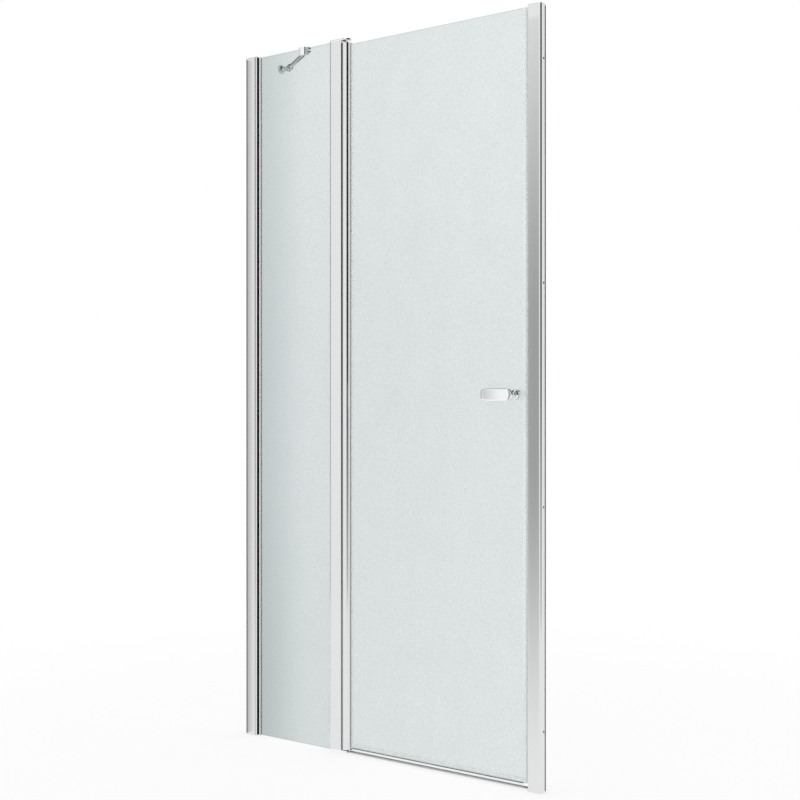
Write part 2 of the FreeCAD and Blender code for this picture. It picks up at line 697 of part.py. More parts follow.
top_cap, top_plate = hinge_end(
    "hinge_top_cap", "cap_bottom_z", "cap_thickness", [("0", "-half_depth", "0", "0", "left"), ("0", "half_depth")]
)
bevel_face(top_cap, top_plate, Vector(0, 0, 1), "cap_bevel")
screw_seats(top_cap, "cap_thickness", False)
pin_hole = new_sketch(top_cap, "XY_Plane")
draw_circle(pin_hole, "0", "0", "pin_radius + press_gap")
add_pocket(top_cap, pin_hole, "cap_thickness - top_pin_cover", onward=True)
port_place_x = "hinge_x + port_x"
screw_row(
    "cap_screws", (port_place_x, "-port_y", "fixed_side_height"), None, "end_screw_length", "2 * port_y", 2
)
top_pin = new_body("top_pivot_pin", ("hinge_x", "0", "fixed_side_height - top_pin_cover"))
top_pin_round = new_sketch(top_pin, "XY_Plane")
draw_circle(top_pin_round, "0", "0", "pin_radius")
add_pad(top_pin, top_pin_round, "top_pin_length", back=True)
foot, foot_plate = hinge_end(
    "hinge_foot", "0", "foot_thickness", [("half_depth", "-half_depth"), ("half_depth", "half_depth")]
)
screw_seats(foot, "0", True)
cam_seat = new_sketch(foot, "XY_Plane", "foot_thickness")
seat_side = "(cam_radius + press_gap)"
draw(cam_seat, box(f"-{seat_side}", f"-{seat_side}", seat_side, seat_side))
add_pocket(foot, cam_seat, "cam_base")
pivot_bore = new_sketch(foot, "XY_Plane", "foot_thickness")
draw_circle(pivot_bore, "0", "0", "pin_bore")
add_pocket(foot, pivot_bore, "foot_thickness - foot_floor")
screw_row("foot_screws", (port_place_x, "port_y", "0"), UPSIDE_DOWN, "end_screw_length", "2 * port_y", 2)


# Two cams with equal helical ramps carry the leaf: as it turns, the upper one climbs the lower one.
def cut_ramps(body, low, high):
    """Cuts two half-turn ramps that rise clockwise by the same lead."""
    sketch = new_sketch(body, "XZ_Plane")
    draw(sketch, box("pin_radius / 2", low, "stile_bore + overrun", high))
    helix = body.newObject("PartDesign::SubtractiveHelix", "Ramp")
    helix.Profile = sketch
    helix.ReferenceAxis = (origin_part(body, "Z_Axis"), [""])
    helix.Mode = "pitch-turns-angle"
    bind(helix, "Pitch", "lead")
    helix.Turns = 0.5
    helix.LeftHanded = True
    cut_check(body, helix)
    pair = body.newObject("PartDesign::PolarPattern", "Ramps")
    pair.Originals = [helix]
    pair.Axis = (origin_part(body, "Z_Axis"), [""])
    pair.Angle = 360
    pair.Occurrences = 2
    body.Tip = pair
    doc.recompute()


lower_cam = new_body("lower_cam", ("hinge_x", "0", "foot_thickness"))
cam_foot = new_sketch(lower_cam, "XY_Plane")
draw(cam_foot, box("-cam_radius", "-cam_radius", "cam_radius", "cam_radius"))
add_pad(lower_cam, cam_foot, "cam_base", back=True)
cam_ring = new_sketch(lower_cam, "XY_Plane")
draw_circle(cam_ring, "0", "0", "cam_radius")
add_pad(lower_cam, cam_ring, "cam_collar + ramp")
cam_bore = new_sketch(lower_cam, "XY_Plane")
draw_circle(cam_bore, "0", "0", "pin_bore")
add_pocket(lower_cam, cam_bore, both=True)
cut_ramps(lower_cam, "cam_collar", "cam_collar + ramp + overrun")

upper_cam = new_body("upper_cam", ("hinge_x", "0", "upper_cam_z"))
upper_cam.Placement.Rotation = Rotation(Vector(0, 0, -1), value("cam_turn"))
upper_ring = new_sketch(upper_cam, "XY_Plane")
draw_circle(upper_ring, "0", "0", "stile_bore - press_gap")
add_pad(upper_cam, upper_ring, "upper_cam_height")
upper_bore = new_sketch(upper_cam, "XY_Plane")
draw_circle(upper_bore, "0", "0", "pin_bore")
add_pocket(upper_cam, upper_bore, "upper_cam_height - cam_socket", onward=True)
socket = new_sketch(upper_cam, "XY_Plane")
socket_side = "(pin_square / 2 + running_clearance)"
draw(socket, box(f"-{socket_side}", f"-{socket_side}", socket_side, socket_side))
add_pocket(upper_cam, socket, onward=True)
cut_ramps(upper_cam, "-ramp - overrun", "0")

# The pivot pin turns in the foot; its square end drives it from the upper cam, which slides up along it.
pivot_pin = new_body("bottom_pivot_pin", ("hinge_x", "0", "foot_floor + pin_gap"))
pivot_pin.Placement.Rotation = Rotation(Vector(0, 0, -1), value("cam_turn"))
pin_round = new_sketch(pivot_pin, "XY_Plane")
draw_circle(pin_round, "0", "0", "pin_radius")
add_pad(pivot_pin, pin_round, "socket_z - foot_floor - 2 * pin_gap")
pin_end = new_sketch(pivot_pin, "XY_Plane")
draw(pin_end, box("-pin_square / 2", "-pin_square / 2", "pin_square / 2", "pin_square / 2"))
add_pad(pivot_pin, pin_end, "socket_z - foot_floor - pin_gap + cam_socket + door_lift")

# The leaf: the stile is a hinge barrel with a nose that holds the pane.
stile = new_body("door_stile", ("hinge_x", "0", "stile_bottom_z"))
stile_sketch = new_sketch(stile, "XY_Plane")
stile_outline = [
    ("nose_start", "nose_half", "0", "0", "left"),
    ("nose_start", "-nose_half"),
    ("nose_reach", "-nose_half"),
    ("nose_reach", "-slot_half"),
    ("stile_slot", "-slot_half"),
    ("stile_slot", "slot_half"),
    ("nose_reach", "slot_half"),
    ("nose_reach", "nose_half"),
]
draw(stile_sketch, stile_outline)
draw_circle(stile_sketch, "0", "0", "stile_bore")
add_pad(stile, stile_sketch, "stile_top_z - stile_bottom_z")
hollows = new_sketch(stile, "XY_Plane")
for side in ("", "-"):
    turns = ("left", "right") if side == "" else ("right", "left")
    hollow = [
        ("hollow_outer * cos(rib_start_angle)", f"{side}hollow_outer * sin(rib_start_angle)", "0", "0", turns[0]),
        ("hollow_outer * cos(rib_end_angle)", f"{side}hollow_outer * sin(rib_end_angle)"),
        ("stile_slot * cos(rib_end_angle)", f"{side}stile_slot * sin(rib_end_angle)", "0", "0", turns[1]),
        ("stile_slot * cos(rib_start_angle)", f"{side}stile_slot * sin(rib_start_angle)"),
    ]
    draw(hollows, hollow)
add_pocket(stile, hollows, onward=True)
turning(
    "top_bush",
    [
        ("pin_bore", "-bush_length"),
        ("stile_bore - press_gap", "-bush_length"),
        ("stile_bore - press_gap", "0"),
        ("bush_flange_radius", "0"),
        ("bush_flange_radius", "bush_flange"),
        ("pin_bore", "bush_flange"),
    ],
    ("hinge_x", "0", "stile_top_z"),
)
glass_pane(
    "door_glass",
    "door_glass_left_x",
    "door_glass_right_x",
    "door_glass_floor_gap",
    "door_glass_top_z",
    ("handle_x", "handle_height", "handle_hole_radius"),
)
gasket("door_gasket", "nose_end_x", None, "stile_glass_hold", "door_glass_floor_gap", "door_glass_top_z", LIP_ROOT)
extrusion(
    "door_bottom_seal",
    [
        ("-seal_half", "seal_leg"),
        ("-seal_half", "-seal_wall"),
        ("-seal_fin / 2", "-seal_wall"),
        ("-seal_fin / 2", "-fin_drop"),
        ("seal_fin / 2", "-fin_drop"),
        ("seal_fin / 2", "-seal_wall"),
        ("seal_half - seal_wall", "-seal_wall"),
        ("drip_reach", "-drip_drop"),
        ("drip_reach", "seal_fin - drip_drop"),
        ("seal_half", "0"),
        ("seal_half", "seal_leg"),
        ("half_glass", "seal_leg"),
        ("half_glass", "0"),
        ("-half_glass", "0"),
        ("-half_glass", "seal_leg"),
    ],
    "bottom_seal_end_x - bottom_seal_start_x",
    ("bottom_seal_start_x", "0", "door_glass_floor_gap"),
    role="YZ_Plane",
)
seal = new_body("door_magnet_seal", ("door_glass_right_x", "0", "door_glass_floor_gap"))
seal_sketch = new_sketch(seal, "XY_Plane")
seal_outline = [
    ("-magnet_leg", "-half_glass"),
    ("-magnet_leg", "-seal_half"),
    ("magnet_seal_end", "-seal_half"),
    ("magnet_seal_end", "seal_half"),
    ("-magnet_leg", "seal_half"),
    ("-magnet_leg", "half_glass"),
    ("0", "half_glass"),
    ("0", "-half_glass"),
]
draw(seal_sketch, seal_outline)
pocket_end = "magnet_seal_end - magnet_skin"
draw(seal_sketch, box(f"{pocket_end} - magnet_pocket", "-magnet_half", pocket_end, "magnet_half"))
add_pad(seal, seal_sketch, "door_glass_height")


def magnet_strip(label, face_x, low_z, length):
    """A magnet strip whose face towards the right lies at face_x."""
    half = "magnet_width / 2"
    corners = box("-magnet_thickness", f"-{half}", "0", half)
    extrusion(label, corners, length, (face_x, "0", low_z))


magnet_face = "door_glass_right_x + magnet_seal_end - magnet_skin - magnet_fit"
magnet_strip("door_magnet_strip", magnet_face, "door_glass_floor_gap", "door_glass_height")

# The handle, clamped through a hole in the pane.
grip = new_body("handle_grip", ("handle_x", "-grip_back", "handle_height"), TO_OUTSIDE)
grip_sketch = new_sketch(grip, "XY_Plane")
corner_x = "grip_corner - handle_reach"
grip_outline = [
    ("0", "-grip_radius", "0", "0", "left"),
    ("0", "grip_radius"),
    (corner_x, "grip_radius", corner_x, "grip_radius - grip_corner", "left"),
    ("-handle_reach", "grip_radius - grip_corner"),
    ("-handle_reach", "grip_corner - grip_radius", corner_x, "grip_corner - grip_radius", "left"),
    (corner_x, "-grip_radius"),
]
draw(grip_sketch, grip_outline)
grip_pad = add_pad(grip, grip_sketch, "grip_thickness")
bevel_face(grip, grip_pad, Vector(0, 0, 1), "grip_bevel")
stem_top = "grip_stand_off - washer_thickness"
turning(
    "handle_stem",
    [
        ("bolt_hole", "0"),
        ("stem_foot_radius", "0"),
        ("stem_foot_radius", "stem_foot"),
        ("stem_radius", "stem_foot"),
        ("stem_radius", stem_top),
        ("0", stem_top),
        ("0", "bolt_reach + seat_gap"),
        ("bolt_hole", "bolt_reach + seat_gap"),
    ],
    ("handle_x", "-handle_seat", "handle_height"),
    TO_OUTSIDE,
)
turning(
    "inner_knob",
    [
        ("bolt_hole", "0"),
        ("stem_foot_radius", "0"),
        ("stem_foot_radius", "knob_height"),
        ("0", "knob_height"),
        ("0", "knob_bolt_reach + seat_gap"),
        ("bolt_hole", "knob_bolt_reach + seat_gap"),
    ],
    ("handle_x", "handle_seat", "handle_height"),
    TO_INSIDE,
)
washers = new_body("handle_washers", ("handle_x", "0", "handle_height"))
ring = new_sketch(washers, "XZ_Plane", "half_glass")
draw_circle(ring, "0", "0", "stem_foot_radius")
draw_circle(ring, "0", "0", "bolt_hole")
outer_washer = add_pad(washers, ring, "washer_thickness")
both_washers = washers.newObject("PartDesign::Mirrored", "Mirrored")
both_washers.Originals = [outer_washer]
both_washers.MirrorPlane = (origin_part(washers, "XZ_Plane"), [""])
washers.Tip = both_washers
sleeve = new_body("handle_sleeve", ("handle_x", "0", "handle_height"))
sleeve_ring = new_sketch(sleeve, "XZ_Plane")
draw_circle(sleeve_ring, "0", "0", "handle_hole_radius - bolt_gap")
draw_circle(sleeve_ring, "0", "0", "bolt_hole")
add_pad(sleeve, sleeve_ring, "glass_thickness", both=True)
bolt = doc.addObject("Part::Cylinder", "handle_bolt")
bolt.Placement = Placement(Vector(), Rotation(*TO_INSIDE))
bind(bolt, "Radius", "handle_bolt_radius")
bind(bolt, "Height", "bolt_reach + 2 * handle_seat + knob_bolt_reach")
bind(bolt, "Placement.Base.x", "handle_x")
bind(bolt, "Placement.Base.y", "-handle_seat - bolt_reach")
bind(bolt, "Placement.Base.z", "handle_height")
pieces.append(bolt)

# The threshold strip and the right jamb.
extrusion(
    "threshold_strip",
    [
        ("-sill_front", "0"),
        ("sill_back", "0"),
        ("sill_back", "sill_lip"),
        ("sill_crest", "sill_height"),
        ("sill_bevel - sill_front", "sill_height"),
        ("-sill_front", "sill_height - sill_bevel"),
    ],
    "strike_face_x - sill_start_x",
    ("sill_start_x", "0", "0"),
    role="YZ_Plane",
)
wall_channel("right_wall_channel", "right_wall_x", HALF_TURN, "jamb_top_z")
channel_cap("right_channel_cap", "right_wall_x", "jamb_top_z", HALF_TURN, "strike_reach")
pocket_depth = "strike_reach - magnet_pocket"
strike_outline = mirrored_outline(
    [
        (pocket_depth, "-magnet_half"),
        ("strike_reach", "-magnet_half"),
        ("strike_reach", "-inner_half"),
        ("inner_tail", "-inner_half"),
        ("inner_tail", "inner_wall - inner_half"),
        ("strike_reach - inner_wall", "inner_wall - inner_half"),
        ("strike_reach - inner_wall", "-magnet_half - inner_wall"),
        (f"{pocket_depth} - inner_wall", "-magnet_half - inner_wall"),
    ]
)
strike = extrusion("strike_profile", strike_outline, "jamb_top_z", ("right_wall_x", "0", "0"), HALF_TURN)
lock_holes(strike, True)
lock_set("right", "right_wall_x - lock_from_wall")
strike_magnet_x = "strike_face_x + magnet_fit + magnet_thickness"
magnet_strip("strike_magnet_strip", strike_magnet_x, "sill_height", "jamb_top_z - sill_height - magnet_top_gap")


# The brace: a rosette on the wall, a rod with a fork at each end, a clamp over the top of the fixed pane.
def add_eye(body, corners, centre):
    """A flat eye with a pin hole."""
    plate = new_sketch(body, "XY_Plane")
    draw(plate, corners)
    add_pad(body, plate, "eye_thickness", both=True)
    hole = new_sketch(body, "XY_Plane")
    draw_circle(hole, *centre, "brace_pin_radius + brace_pin_clearance")
    add_pocket(body, hole, both=True)


rosette = new_body("brace_rosette", ("left_wall_x", "brace_wall_y", "brace_z"))
rosette_sketch = new_sketch(rosette, "XY_Plane")
neck_end = "(brace_eye_from_wall - eye_clear)"
rosette_outline = [
    ("0", "0"),
    (neck_end, "0"),
    (neck_end, "rosette_neck_radius"),
    ("rosette_rim", "rosette_neck_radius"),
    ("rosette_rim", "rosette_radius"),
    ("0", "rosette_radius"),
]
draw(rosette_sketch, rosette_outline)
add_turned(rosette, rosette_sketch, "H_Axis")
stud_hole = new_sketch(rosette, "YZ_Plane")
draw_circle(stud_hole, "0", "0", "stud_radius")
add_pocket(rosette, stud_hole, "stud_depth", onward=True)
wall_eye = [
    ("brace_eye_from_wall", "-eye_radius", "brace_eye_from_wall", "0", "left"),
    ("brace_eye_from_wall", "eye_radius"),
    (f"{neck_end} - seat_gap", "eye_radius"),
    (f"{neck_end} - seat_gap", "-eye_radius"),
]
add_eye(rosette, wall_eye, ("brace_eye_from_wall", "0"))

rod = new_body("brace_rod", ("brace_eye_x", "brace_wall_y", "brace_z"))
rod.Placement.Rotation = Rotation(Vector(0, 0, 1), 0)
bind(rod, "Placement.Rotation.Yaw", "atan2(brace_run_y; brace_run_x)")
rod_sketch = new_sketch(rod, "XZ_Plane")
rod_outline = [
    ("-fork_over", "0"),
    ("rod_length + fork_over", "0"),
    ("rod_length + fork_over", "fork_radius"),
    ("rod_length - fork_length", "fork_radius"),
    ("rod_length - fork_length", "rod_radius"),
    ("fork_length", "rod_radius"),
    ("fork_length", "fork_radius"),
    ("-fork_over", "fork_radius"),
]
draw(rod_sketch, rod_outline)
add_turned(rod, rod_sketch, "H_Axis")
slots = new_sketch(rod, "XZ_Plane")
slot_side = "(eye_thickness / 2 + fork_clearance)"
draw(slots, box("-fork_over - overrun", f"-{slot_side}", "fork_slot_depth", slot_side))
far_end = ("rod_length - fork_slot_depth", "rod_length + fork_over + overrun")
draw(slots, box(far_end[0], f"-{slot_side}", far_end[1], slot_side))
add_pocket(rod, slots, both=True)
pin_holes = new_sketch(rod, "XY_Plane")
for place_x in ("0", "rod_length"):
    draw_circle(pin_holes, place_x, "0", "brace_pin_radius + brace_pin_clearance")
add_pocket(rod, pin_holes, both=True)


def brace_pin(label, place_x, place_y):
    """An upright pin through a fork and its eye."""
    body = new_body(label, (place_x, place_y, "brace_z"))
    sketch = new_sketch(body, "XY_Plane")
    draw_circle(sketch, "0", "0", "brace_pin_radius")
    add_pad(body, sketch, "2 * (fork_radius - brace_pin_inset)", both=True)


brace_pin("brace_wall_pin", "brace_eye_x", "brace_wall_y")
brace_pin("brace_glass_pin", "brace_clamp_x", "clamp_eye_y")

clamp = new_body("brace_clamp", ("brace_clamp_x", "0", "brace_z"))
clamp_low = "clamp_top - clamp_pad - clamp_grip"
clamp_sketch = new_sketch(clamp, "YZ_Plane")
clamp_outline = [
    ("-clamp_outer", clamp_low),
    ("-clamp_inner", clamp_low),
    ("-clamp_inner", "clamp_top"),
    ("clamp_inner", "clamp_top"),
    ("clamp_inner", clamp_low),
    ("clamp_outer", clamp_low),
    ("clamp_outer", "clamp_top + clamp_roof"),
    ("-clamp_outer", "clamp_top + clamp_roof"),
]
draw(clamp_sketch, clamp_outline)
add_pad(clamp, clamp_sketch, "clamp_width", both=True)
screw_z = "clamp_top - clamp_pad - clamp_screw_drop"
tapped = new_sketch(clamp, "XZ_Plane")
draw_circle(tapped, "0", screw_z, "clamp_screw_radius + bolt_gap")
add_pocket(clamp, tapped)
glass_eye = [
    ("eye_radius", "clamp_outer - seat_gap"),
    ("eye_radius", "clamp_eye_y", "0", "clamp_eye_y", "left"),
    ("-eye_radius", "clamp_eye_y"),
    ("-eye_radius", "clamp_outer - seat_gap"),
]
add_eye(clamp, glass_eye, ("0", "clamp_eye_y"))
liner = new_body("clamp_pad", ("brace_clamp_x", "0", "brace_z"))
liner_sketch = new_sketch(liner, "YZ_Plane")
liner_outline = [
    ("-clamp_inner", clamp_low),
    ("-half_glass", clamp_low),
    ("-half_glass", "clamp_top - clamp_pad"),
    ("half_glass", "clamp_top - clamp_pad"),
    ("half_glass", clamp_low),
    ("clamp_inner", clamp_low),
    ("clamp_inner", "clamp_top"),
    ("-clamp_inner", "clamp_top"),
]
draw(liner_sketch, liner_outline)
add_pad(liner, liner_sketch, "clamp_width", both=True)
grub = doc.addObject("Part::Cylinder", "clamp_screw")
grub.Placement = Placement(Vector(), Rotation(*TO_INSIDE))
bind(grub, "Radius", "clamp_screw_radius")
bind(grub, "Height", "clamp_wall")
bind(grub, "Placement.Base.x", "brace_clamp_x")
bind(grub, "Placement.Base.y", "clamp_inner")
bind(grub, "Placement.Base.z", f"brace_z + {screw_z}")
pieces.append(grub)

doc.recompute()
for item in doc.Objects:
    if "Invalid" in item.State or "Error" in item.State:
        raise ValueError(f"{item.Name} did not build")
os.makedirs("parts", exist_ok=True)
for piece in pieces:
    shape = piece.Shape
    if shape.isNull() or not shape.isValid() or not shape.Solids:
        raise ValueError(f"{piece.Label} has no sound shape")
    shape.exportStep(f"parts/{piece.Label}.step")
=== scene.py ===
import json
import math

import bpy
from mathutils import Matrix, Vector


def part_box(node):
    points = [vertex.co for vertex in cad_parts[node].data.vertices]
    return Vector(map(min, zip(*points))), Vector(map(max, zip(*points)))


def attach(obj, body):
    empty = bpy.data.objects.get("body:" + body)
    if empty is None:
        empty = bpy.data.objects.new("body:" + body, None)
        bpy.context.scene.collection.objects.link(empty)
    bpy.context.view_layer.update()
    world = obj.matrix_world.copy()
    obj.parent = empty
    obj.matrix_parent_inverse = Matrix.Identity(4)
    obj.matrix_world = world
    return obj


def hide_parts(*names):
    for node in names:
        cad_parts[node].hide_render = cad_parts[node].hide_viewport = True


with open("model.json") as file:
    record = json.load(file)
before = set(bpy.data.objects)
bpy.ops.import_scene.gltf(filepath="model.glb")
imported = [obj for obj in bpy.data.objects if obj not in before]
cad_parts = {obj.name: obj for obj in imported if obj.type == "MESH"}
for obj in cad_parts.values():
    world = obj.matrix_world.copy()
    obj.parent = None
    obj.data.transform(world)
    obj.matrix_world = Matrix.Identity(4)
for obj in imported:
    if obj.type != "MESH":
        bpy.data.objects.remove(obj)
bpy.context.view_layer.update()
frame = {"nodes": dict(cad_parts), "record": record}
nodes = frame["nodes"]

MM = 0.001
NEAR = 0.01 * MM

# The camera stands to the right of the door, level with its middle.
CAMERA_PLACE = (2.2729, -2.8557, 0.9565)
CAMERA_TURN = math.radians(37.843)
CAMERA_LENS = 61.425
CAMERA_SENSOR = 36.0
CAMERA_SHIFT_UP = 0.003125


class Shade:
    """A socket of a shader tree: sums on it add Math nodes, and node() adds any other node."""

    def __init__(self, tree, socket=None):
        self.tree = tree
        self.socket = socket

    def node(self, kind, settings=None, sockets=None, output=0):
        made = self.tree.nodes.new(kind)
        for name, setting in (settings or {}).items():
            setattr(made, name, setting)
        for name, content in (sockets or {}).items():
            if isinstance(content, Shade):
                self.tree.links.new(content.socket, made.inputs[name])
            else:
                made.inputs[name].default_value = content
        return Shade(self.tree, made.outputs[output])

    def beside(self, output):
        """Another output of the same node."""
        return Shade(self.tree, self.socket.node.outputs[output])

    def math(self, operation, first, second=0.0, third=0.0):
        return self.node("ShaderNodeMath", {"operation": operation}, {0: first, 1: second, 2: third})

    def __add__(self, other):
        return self.math("ADD", self, other)

    def __sub__(self, other):
        return self.math("SUBTRACT", self, other)

    def __rsub__(self, other):
        return self.math("SUBTRACT", other, self)

    def __mul__(self, other):
        return self.math("MULTIPLY", self, other)

    __radd__ = __add__
    __rmul__ = __mul__

    def rise(self, low, high):
        """0 at low, 1 at high and smooth between; low may be the greater."""
        settings = {"interpolation_type": "SMOOTHSTEP", "clamp": True}
        sockets = {"Value": self, "From Min": low, "From Max": high}
        return self.node("ShaderNodeMapRange", settings, sockets)

    def place(self):
        """Where a point is on the piece, in metres."""
        return self.node("ShaderNodeTexCoord", output="Object")

    def along(self, axis):
        """The place along one axis, in metres."""
        return self.node("ShaderNodeSeparateXYZ", None, {0: self.place()}, axis)

    def grain(self, stretch, detail=2.0):
        """Noise from 0 to 1, with so many grains to the metre along each axis."""
        placing = {"Vector": self.place(), "Scale": stretch}
        spread = self.node("ShaderNodeMapping", {"vector_type": "POINT"}, placing)
        sockets = {"Vector": spread, "Scale": 1.0, "Detail": detail}
        return self.node("ShaderNodeTexNoise", {"noise_dimensions": "3D"}, sockets, "Fac")

    def between(self, first, second):
        """A colour from the first, where this is 0, to the second, where it is 1."""
        ends = [end if isinstance(end, Shade) else (*end, 1.0) for end in (first, second)]
        sockets = {"Factor": self, 6: ends[0], 7: ends[1]}
        return self.node("ShaderNodeMix", {"data_type": "RGBA", "clamp_factor": True}, sockets, 2)


def new_finish(name, **fixed):
    """A new material; returns it, its Principled shader, and a Shade to build its nodes from."""
    material = bpy.data.materials.new(name)
    material.use_nodes = True
    shader = material.node_tree.nodes["Principled BSDF"]
    for socket, number in fixed.items():
        shader.inputs[socket.replace("_", " ")].default_value = number
    return material, shader, Shade(material.node_tree)


def feed(shader, **shades):
    """Links shades to the sockets of a shader."""
    for socket, shade in shades.items():
        shade.tree.links.new(shade.socket, shader.inputs[socket.replace("_", " ")])


# Edges of metal pieces catch the light as if rounded by this much.
EDGE_ROUND = 0.6 * MM
EDGE_SAMPLES = 4
# The relief of a grain at full strength.
GRAIN_DEPTH = 0.2 * MM


def grain_bump(start, height, strength, **more):
    """A normal with the relief of a grain on it."""
    sockets = {"Strength": strength, "Distance": GRAIN_DEPTH, "Height": height, **more}
    return start.node("ShaderNodeBump", None, sockets)


def rounded_bump(start, height, strength):
    """A normal with softened edges and the relief of a grain on it."""
    soft = start.node("ShaderNodeBevel", {"samples": EDGE_SAMPLES}, {"Radius": EDGE_ROUND})
    return grain_bump(start, height, strength, Normal=soft)


def even(count):
    """The same number of grains to the metre along each axis."""
    return (count, count, count)


DRAWN_RELIEF, PLATED_RELIEF = 0.03, 0.01
PLATED_CLOUDS, PLATED_DETAIL, PLATED_SPECKS = even(45.0), 4.0, even(1400.0)


def drawn_metal(name, light, dark, smooth, rough, fine, broad):
    """Metal with lines from the draw; fine and broad give the lines to the metre along each axis."""
    material, shader, start = new_finish(name, Metallic=1.0)
    lines = start.grain(fine)
    bands = start.grain(broad)
    wear = lines * 0.5 + bands * 0.5
    feed(shader, Base_Color=wear.between(dark, light), Roughness=wear * (rough - smooth) + smooth,
         Normal=rounded_bump(start, lines, DRAWN_RELIEF))
    return material


def plated_metal(name, light, dark, smooth, rough):
    """Bright plating, with faint cloudy places where it was wiped."""
    material, shader, start = new_finish(name, Metallic=1.0)
    clouds = start.grain(PLATED_CLOUDS, PLATED_DETAIL)
    specks = start.grain(PLATED_SPECKS)
    feed(shader, Base_Color=clouds.between(dark, light), Roughness=clouds * (rough - smooth) + smooth,
         Normal=rounded_bump(start, specks, PLATED_RELIEF))
    return material


# Between these heights, in metres, a pane's tint, which is painted shade and reflection, goes over from
# its top to its middle and on to its foot.
TOP_TO_MIDDLE, MIDDLE_TO_FOOT = (1.9, 0.95), (0.9, 0.1)
GLASS_IOR = 1.5
GLASS_SPECKS, SPECK_DETAIL, GLASS_CLOUDS = even(230.0), 1.0, (14.0, 14.0, 9.0)
SPECK_SHARE, CLOUD_SHARE = 0.8, 0.2
SPECKLE_RANGE, SPECKLE_DEPTH, SPECKLE_TINT = (0.36, 0.64), 0.22, (0.42, 0.49, 0.49)


def pane_glass(name, top, middle, foot, near_x, far_x):
    """Clear glass with painted shade and reflection as a tint by place: each height gives a colour for the
    near and one for the far side.
    """
    material, shader, start = new_finish(name, Transmission_Weight=1.0, IOR=GLASS_IOR, Roughness=0.0)
    across = start.along("X").rise(near_x, far_x)
    height = start.along("Z")
    # The tint by height and side is painted shade and reflection.
    upper = height.rise(*TOP_TO_MIDDLE).between(across.between(*top), across.between(*middle))
    tint = height.rise(*MIDDLE_TO_FOOT).between(upper, across.between(*foot))
    specks = start.grain(GLASS_SPECKS, SPECK_DETAIL)
    clouds = start.grain(GLASS_CLOUDS)
    speckle = (specks * SPECK_SHARE + clouds * CLOUD_SHARE).rise(*SPECKLE_RANGE) * SPECKLE_DEPTH
    feed(shader, Base_Color=speckle.between(tint, SPECKLE_TINT))
    return material


MOULD_PATCHES, MOULD_RELIEF = even(25.0), 0.1
PIT_DETAIL = 3.0
PIT_SHARE, PATCH_SHARE = 0.6, 0.4


def moulded(name, light, dark, smooth, rough, size):
    """Plastic or rubber with a fine moulded grain, of so many pits to the metre."""
    material, shader, start = new_finish(name)
    pits = start.grain(even(size), PIT_DETAIL)
    patches = start.grain(MOULD_PATCHES)
    tone = pits * PIT_SHARE + patches * PATCH_SHARE
    feed(shader, Base_Color=tone.between(dark, light), Roughness=tone * (rough - smooth) + smooth,
         Normal=grain_bump(start, pits, MOULD_RELIEF))
    return material


SEAL_SHINE, SEAL_RELIEF = 0.3, 0.1
SEAL_CLOUDY, SEAL_CLEAR, SHADE_BAND_TINT = (0.80, 0.83, 0.83), (0.92, 0.94, 0.94), (0.10, 0.11, 0.11)
SEAL_SMOOTH, SEAL_COVER, SEAL_SPREAD = 0.15, 0.1, 0.2
SHADE_BAND_COVER, SHADE_BAND_CORE = 0.6, 0.6


def clear_seal(name, lines, shade_band=None):
    """Clear soft plastic, a little cloudy, with lines from the press; the last argument gives the heights
    of a dark band of painted shade.
    """
    material, shader, start = new_finish(name, Specular_IOR_Level=SEAL_SHINE)
    streaks = start.grain(lines)
    tint = streaks.between(SEAL_CLOUDY, SEAL_CLEAR)
    cover = streaks * SEAL_SPREAD + SEAL_COVER
    if shade_band:
        middle, reach = (shade_band[0] + shade_band[1]) / 2, (shade_band[1] - shade_band[0]) / 2
        # A dark band of painted shade across these heights, where the glass's foot meets the seal.
        dark = start.math("ABSOLUTE", start.along("Z") - middle).rise(reach, reach * SHADE_BAND_CORE)
        tint = dark.between(tint, SHADE_BAND_TINT)
        cover = cover + dark * SHADE_BAND_COVER
    feed(shader, Base_Color=tint, Roughness=streaks * SEAL_SPREAD + SEAL_SMOOTH, Alpha=cover,
         Normal=grain_bump(start, streaks, SEAL_RELIEF))
    return material


RUBBER_PITS, RUBBER_RELIEF = even(900.0), 0.04
RUBBER_SMOOTH, RUBBER_SPREAD = 0.6, 0.2
LIP_BLUR, TIP_BLUR = 0.2 * MM, 0.5 * MM


def lipped_rubber(name, lip_x, tip_x):
    """Black rubber with a pale soft lip moulded on, from lip_x on, with painted shade that darkens its
    tip.
    """
    material, shader, start = new_finish(name, Specular_IOR_Level=0.0)
    pits = start.grain(RUBBER_PITS, PIT_DETAIL)
    across = start.along("X")
    lip = across.rise(lip_x - LIP_BLUR, lip_x + LIP_BLUR)
    painted_tip_shade = across.rise(tip_x - TIP_BLUR, tip_x + TIP_BLUR)
    black = pits.between((0.002, 0.002, 0.002), (0.005, 0.005, 0.005))
    # The grey at the lip's tip is painted shade.
    pale = painted_tip_shade.between((0.94, 0.95, 0.95), (0.30, 0.32, 0.32))
    feed(shader, Base_Color=lip.between(black, pale), Roughness=pits * RUBBER_SPREAD + RUBBER_SMOOTH,
         Normal=grain_bump(start, pits, RUBBER_RELIEF))
    return material


# Lines to the metre along each axis, for metal drawn upright, drawn level and turned.
UPRIGHT_FINE, UPRIGHT_BROAD = (900.0, 900.0, 1.5), (230.0, 230.0, 0.8)
LEVEL_FINE, LEVEL_BROAD = (1.5, 900.0, 900.0), (0.8, 230.0, 230.0)
TURNED_FINE, TURNED_BROAD = (30.0, 30.0, 1600.0), (15.0, 15.0, 300.0)
BRIGHT_LIGHT, BRIGHT_DARK = (0.81, 0.815, 0.82), (0.73, 0.735, 0.74)

# Where the lip of the black gasket begins and where its tip is, which is darkened by painted shade.
LIP_X, LIP_TIP_X = -454.6 * MM, -450.6 * MM
# Heights of the band of painted shade on the door's bottom seal, at the foot of the glass.
SEAL_SHADE_BAND = (13.5 * MM, 17.5 * MM)
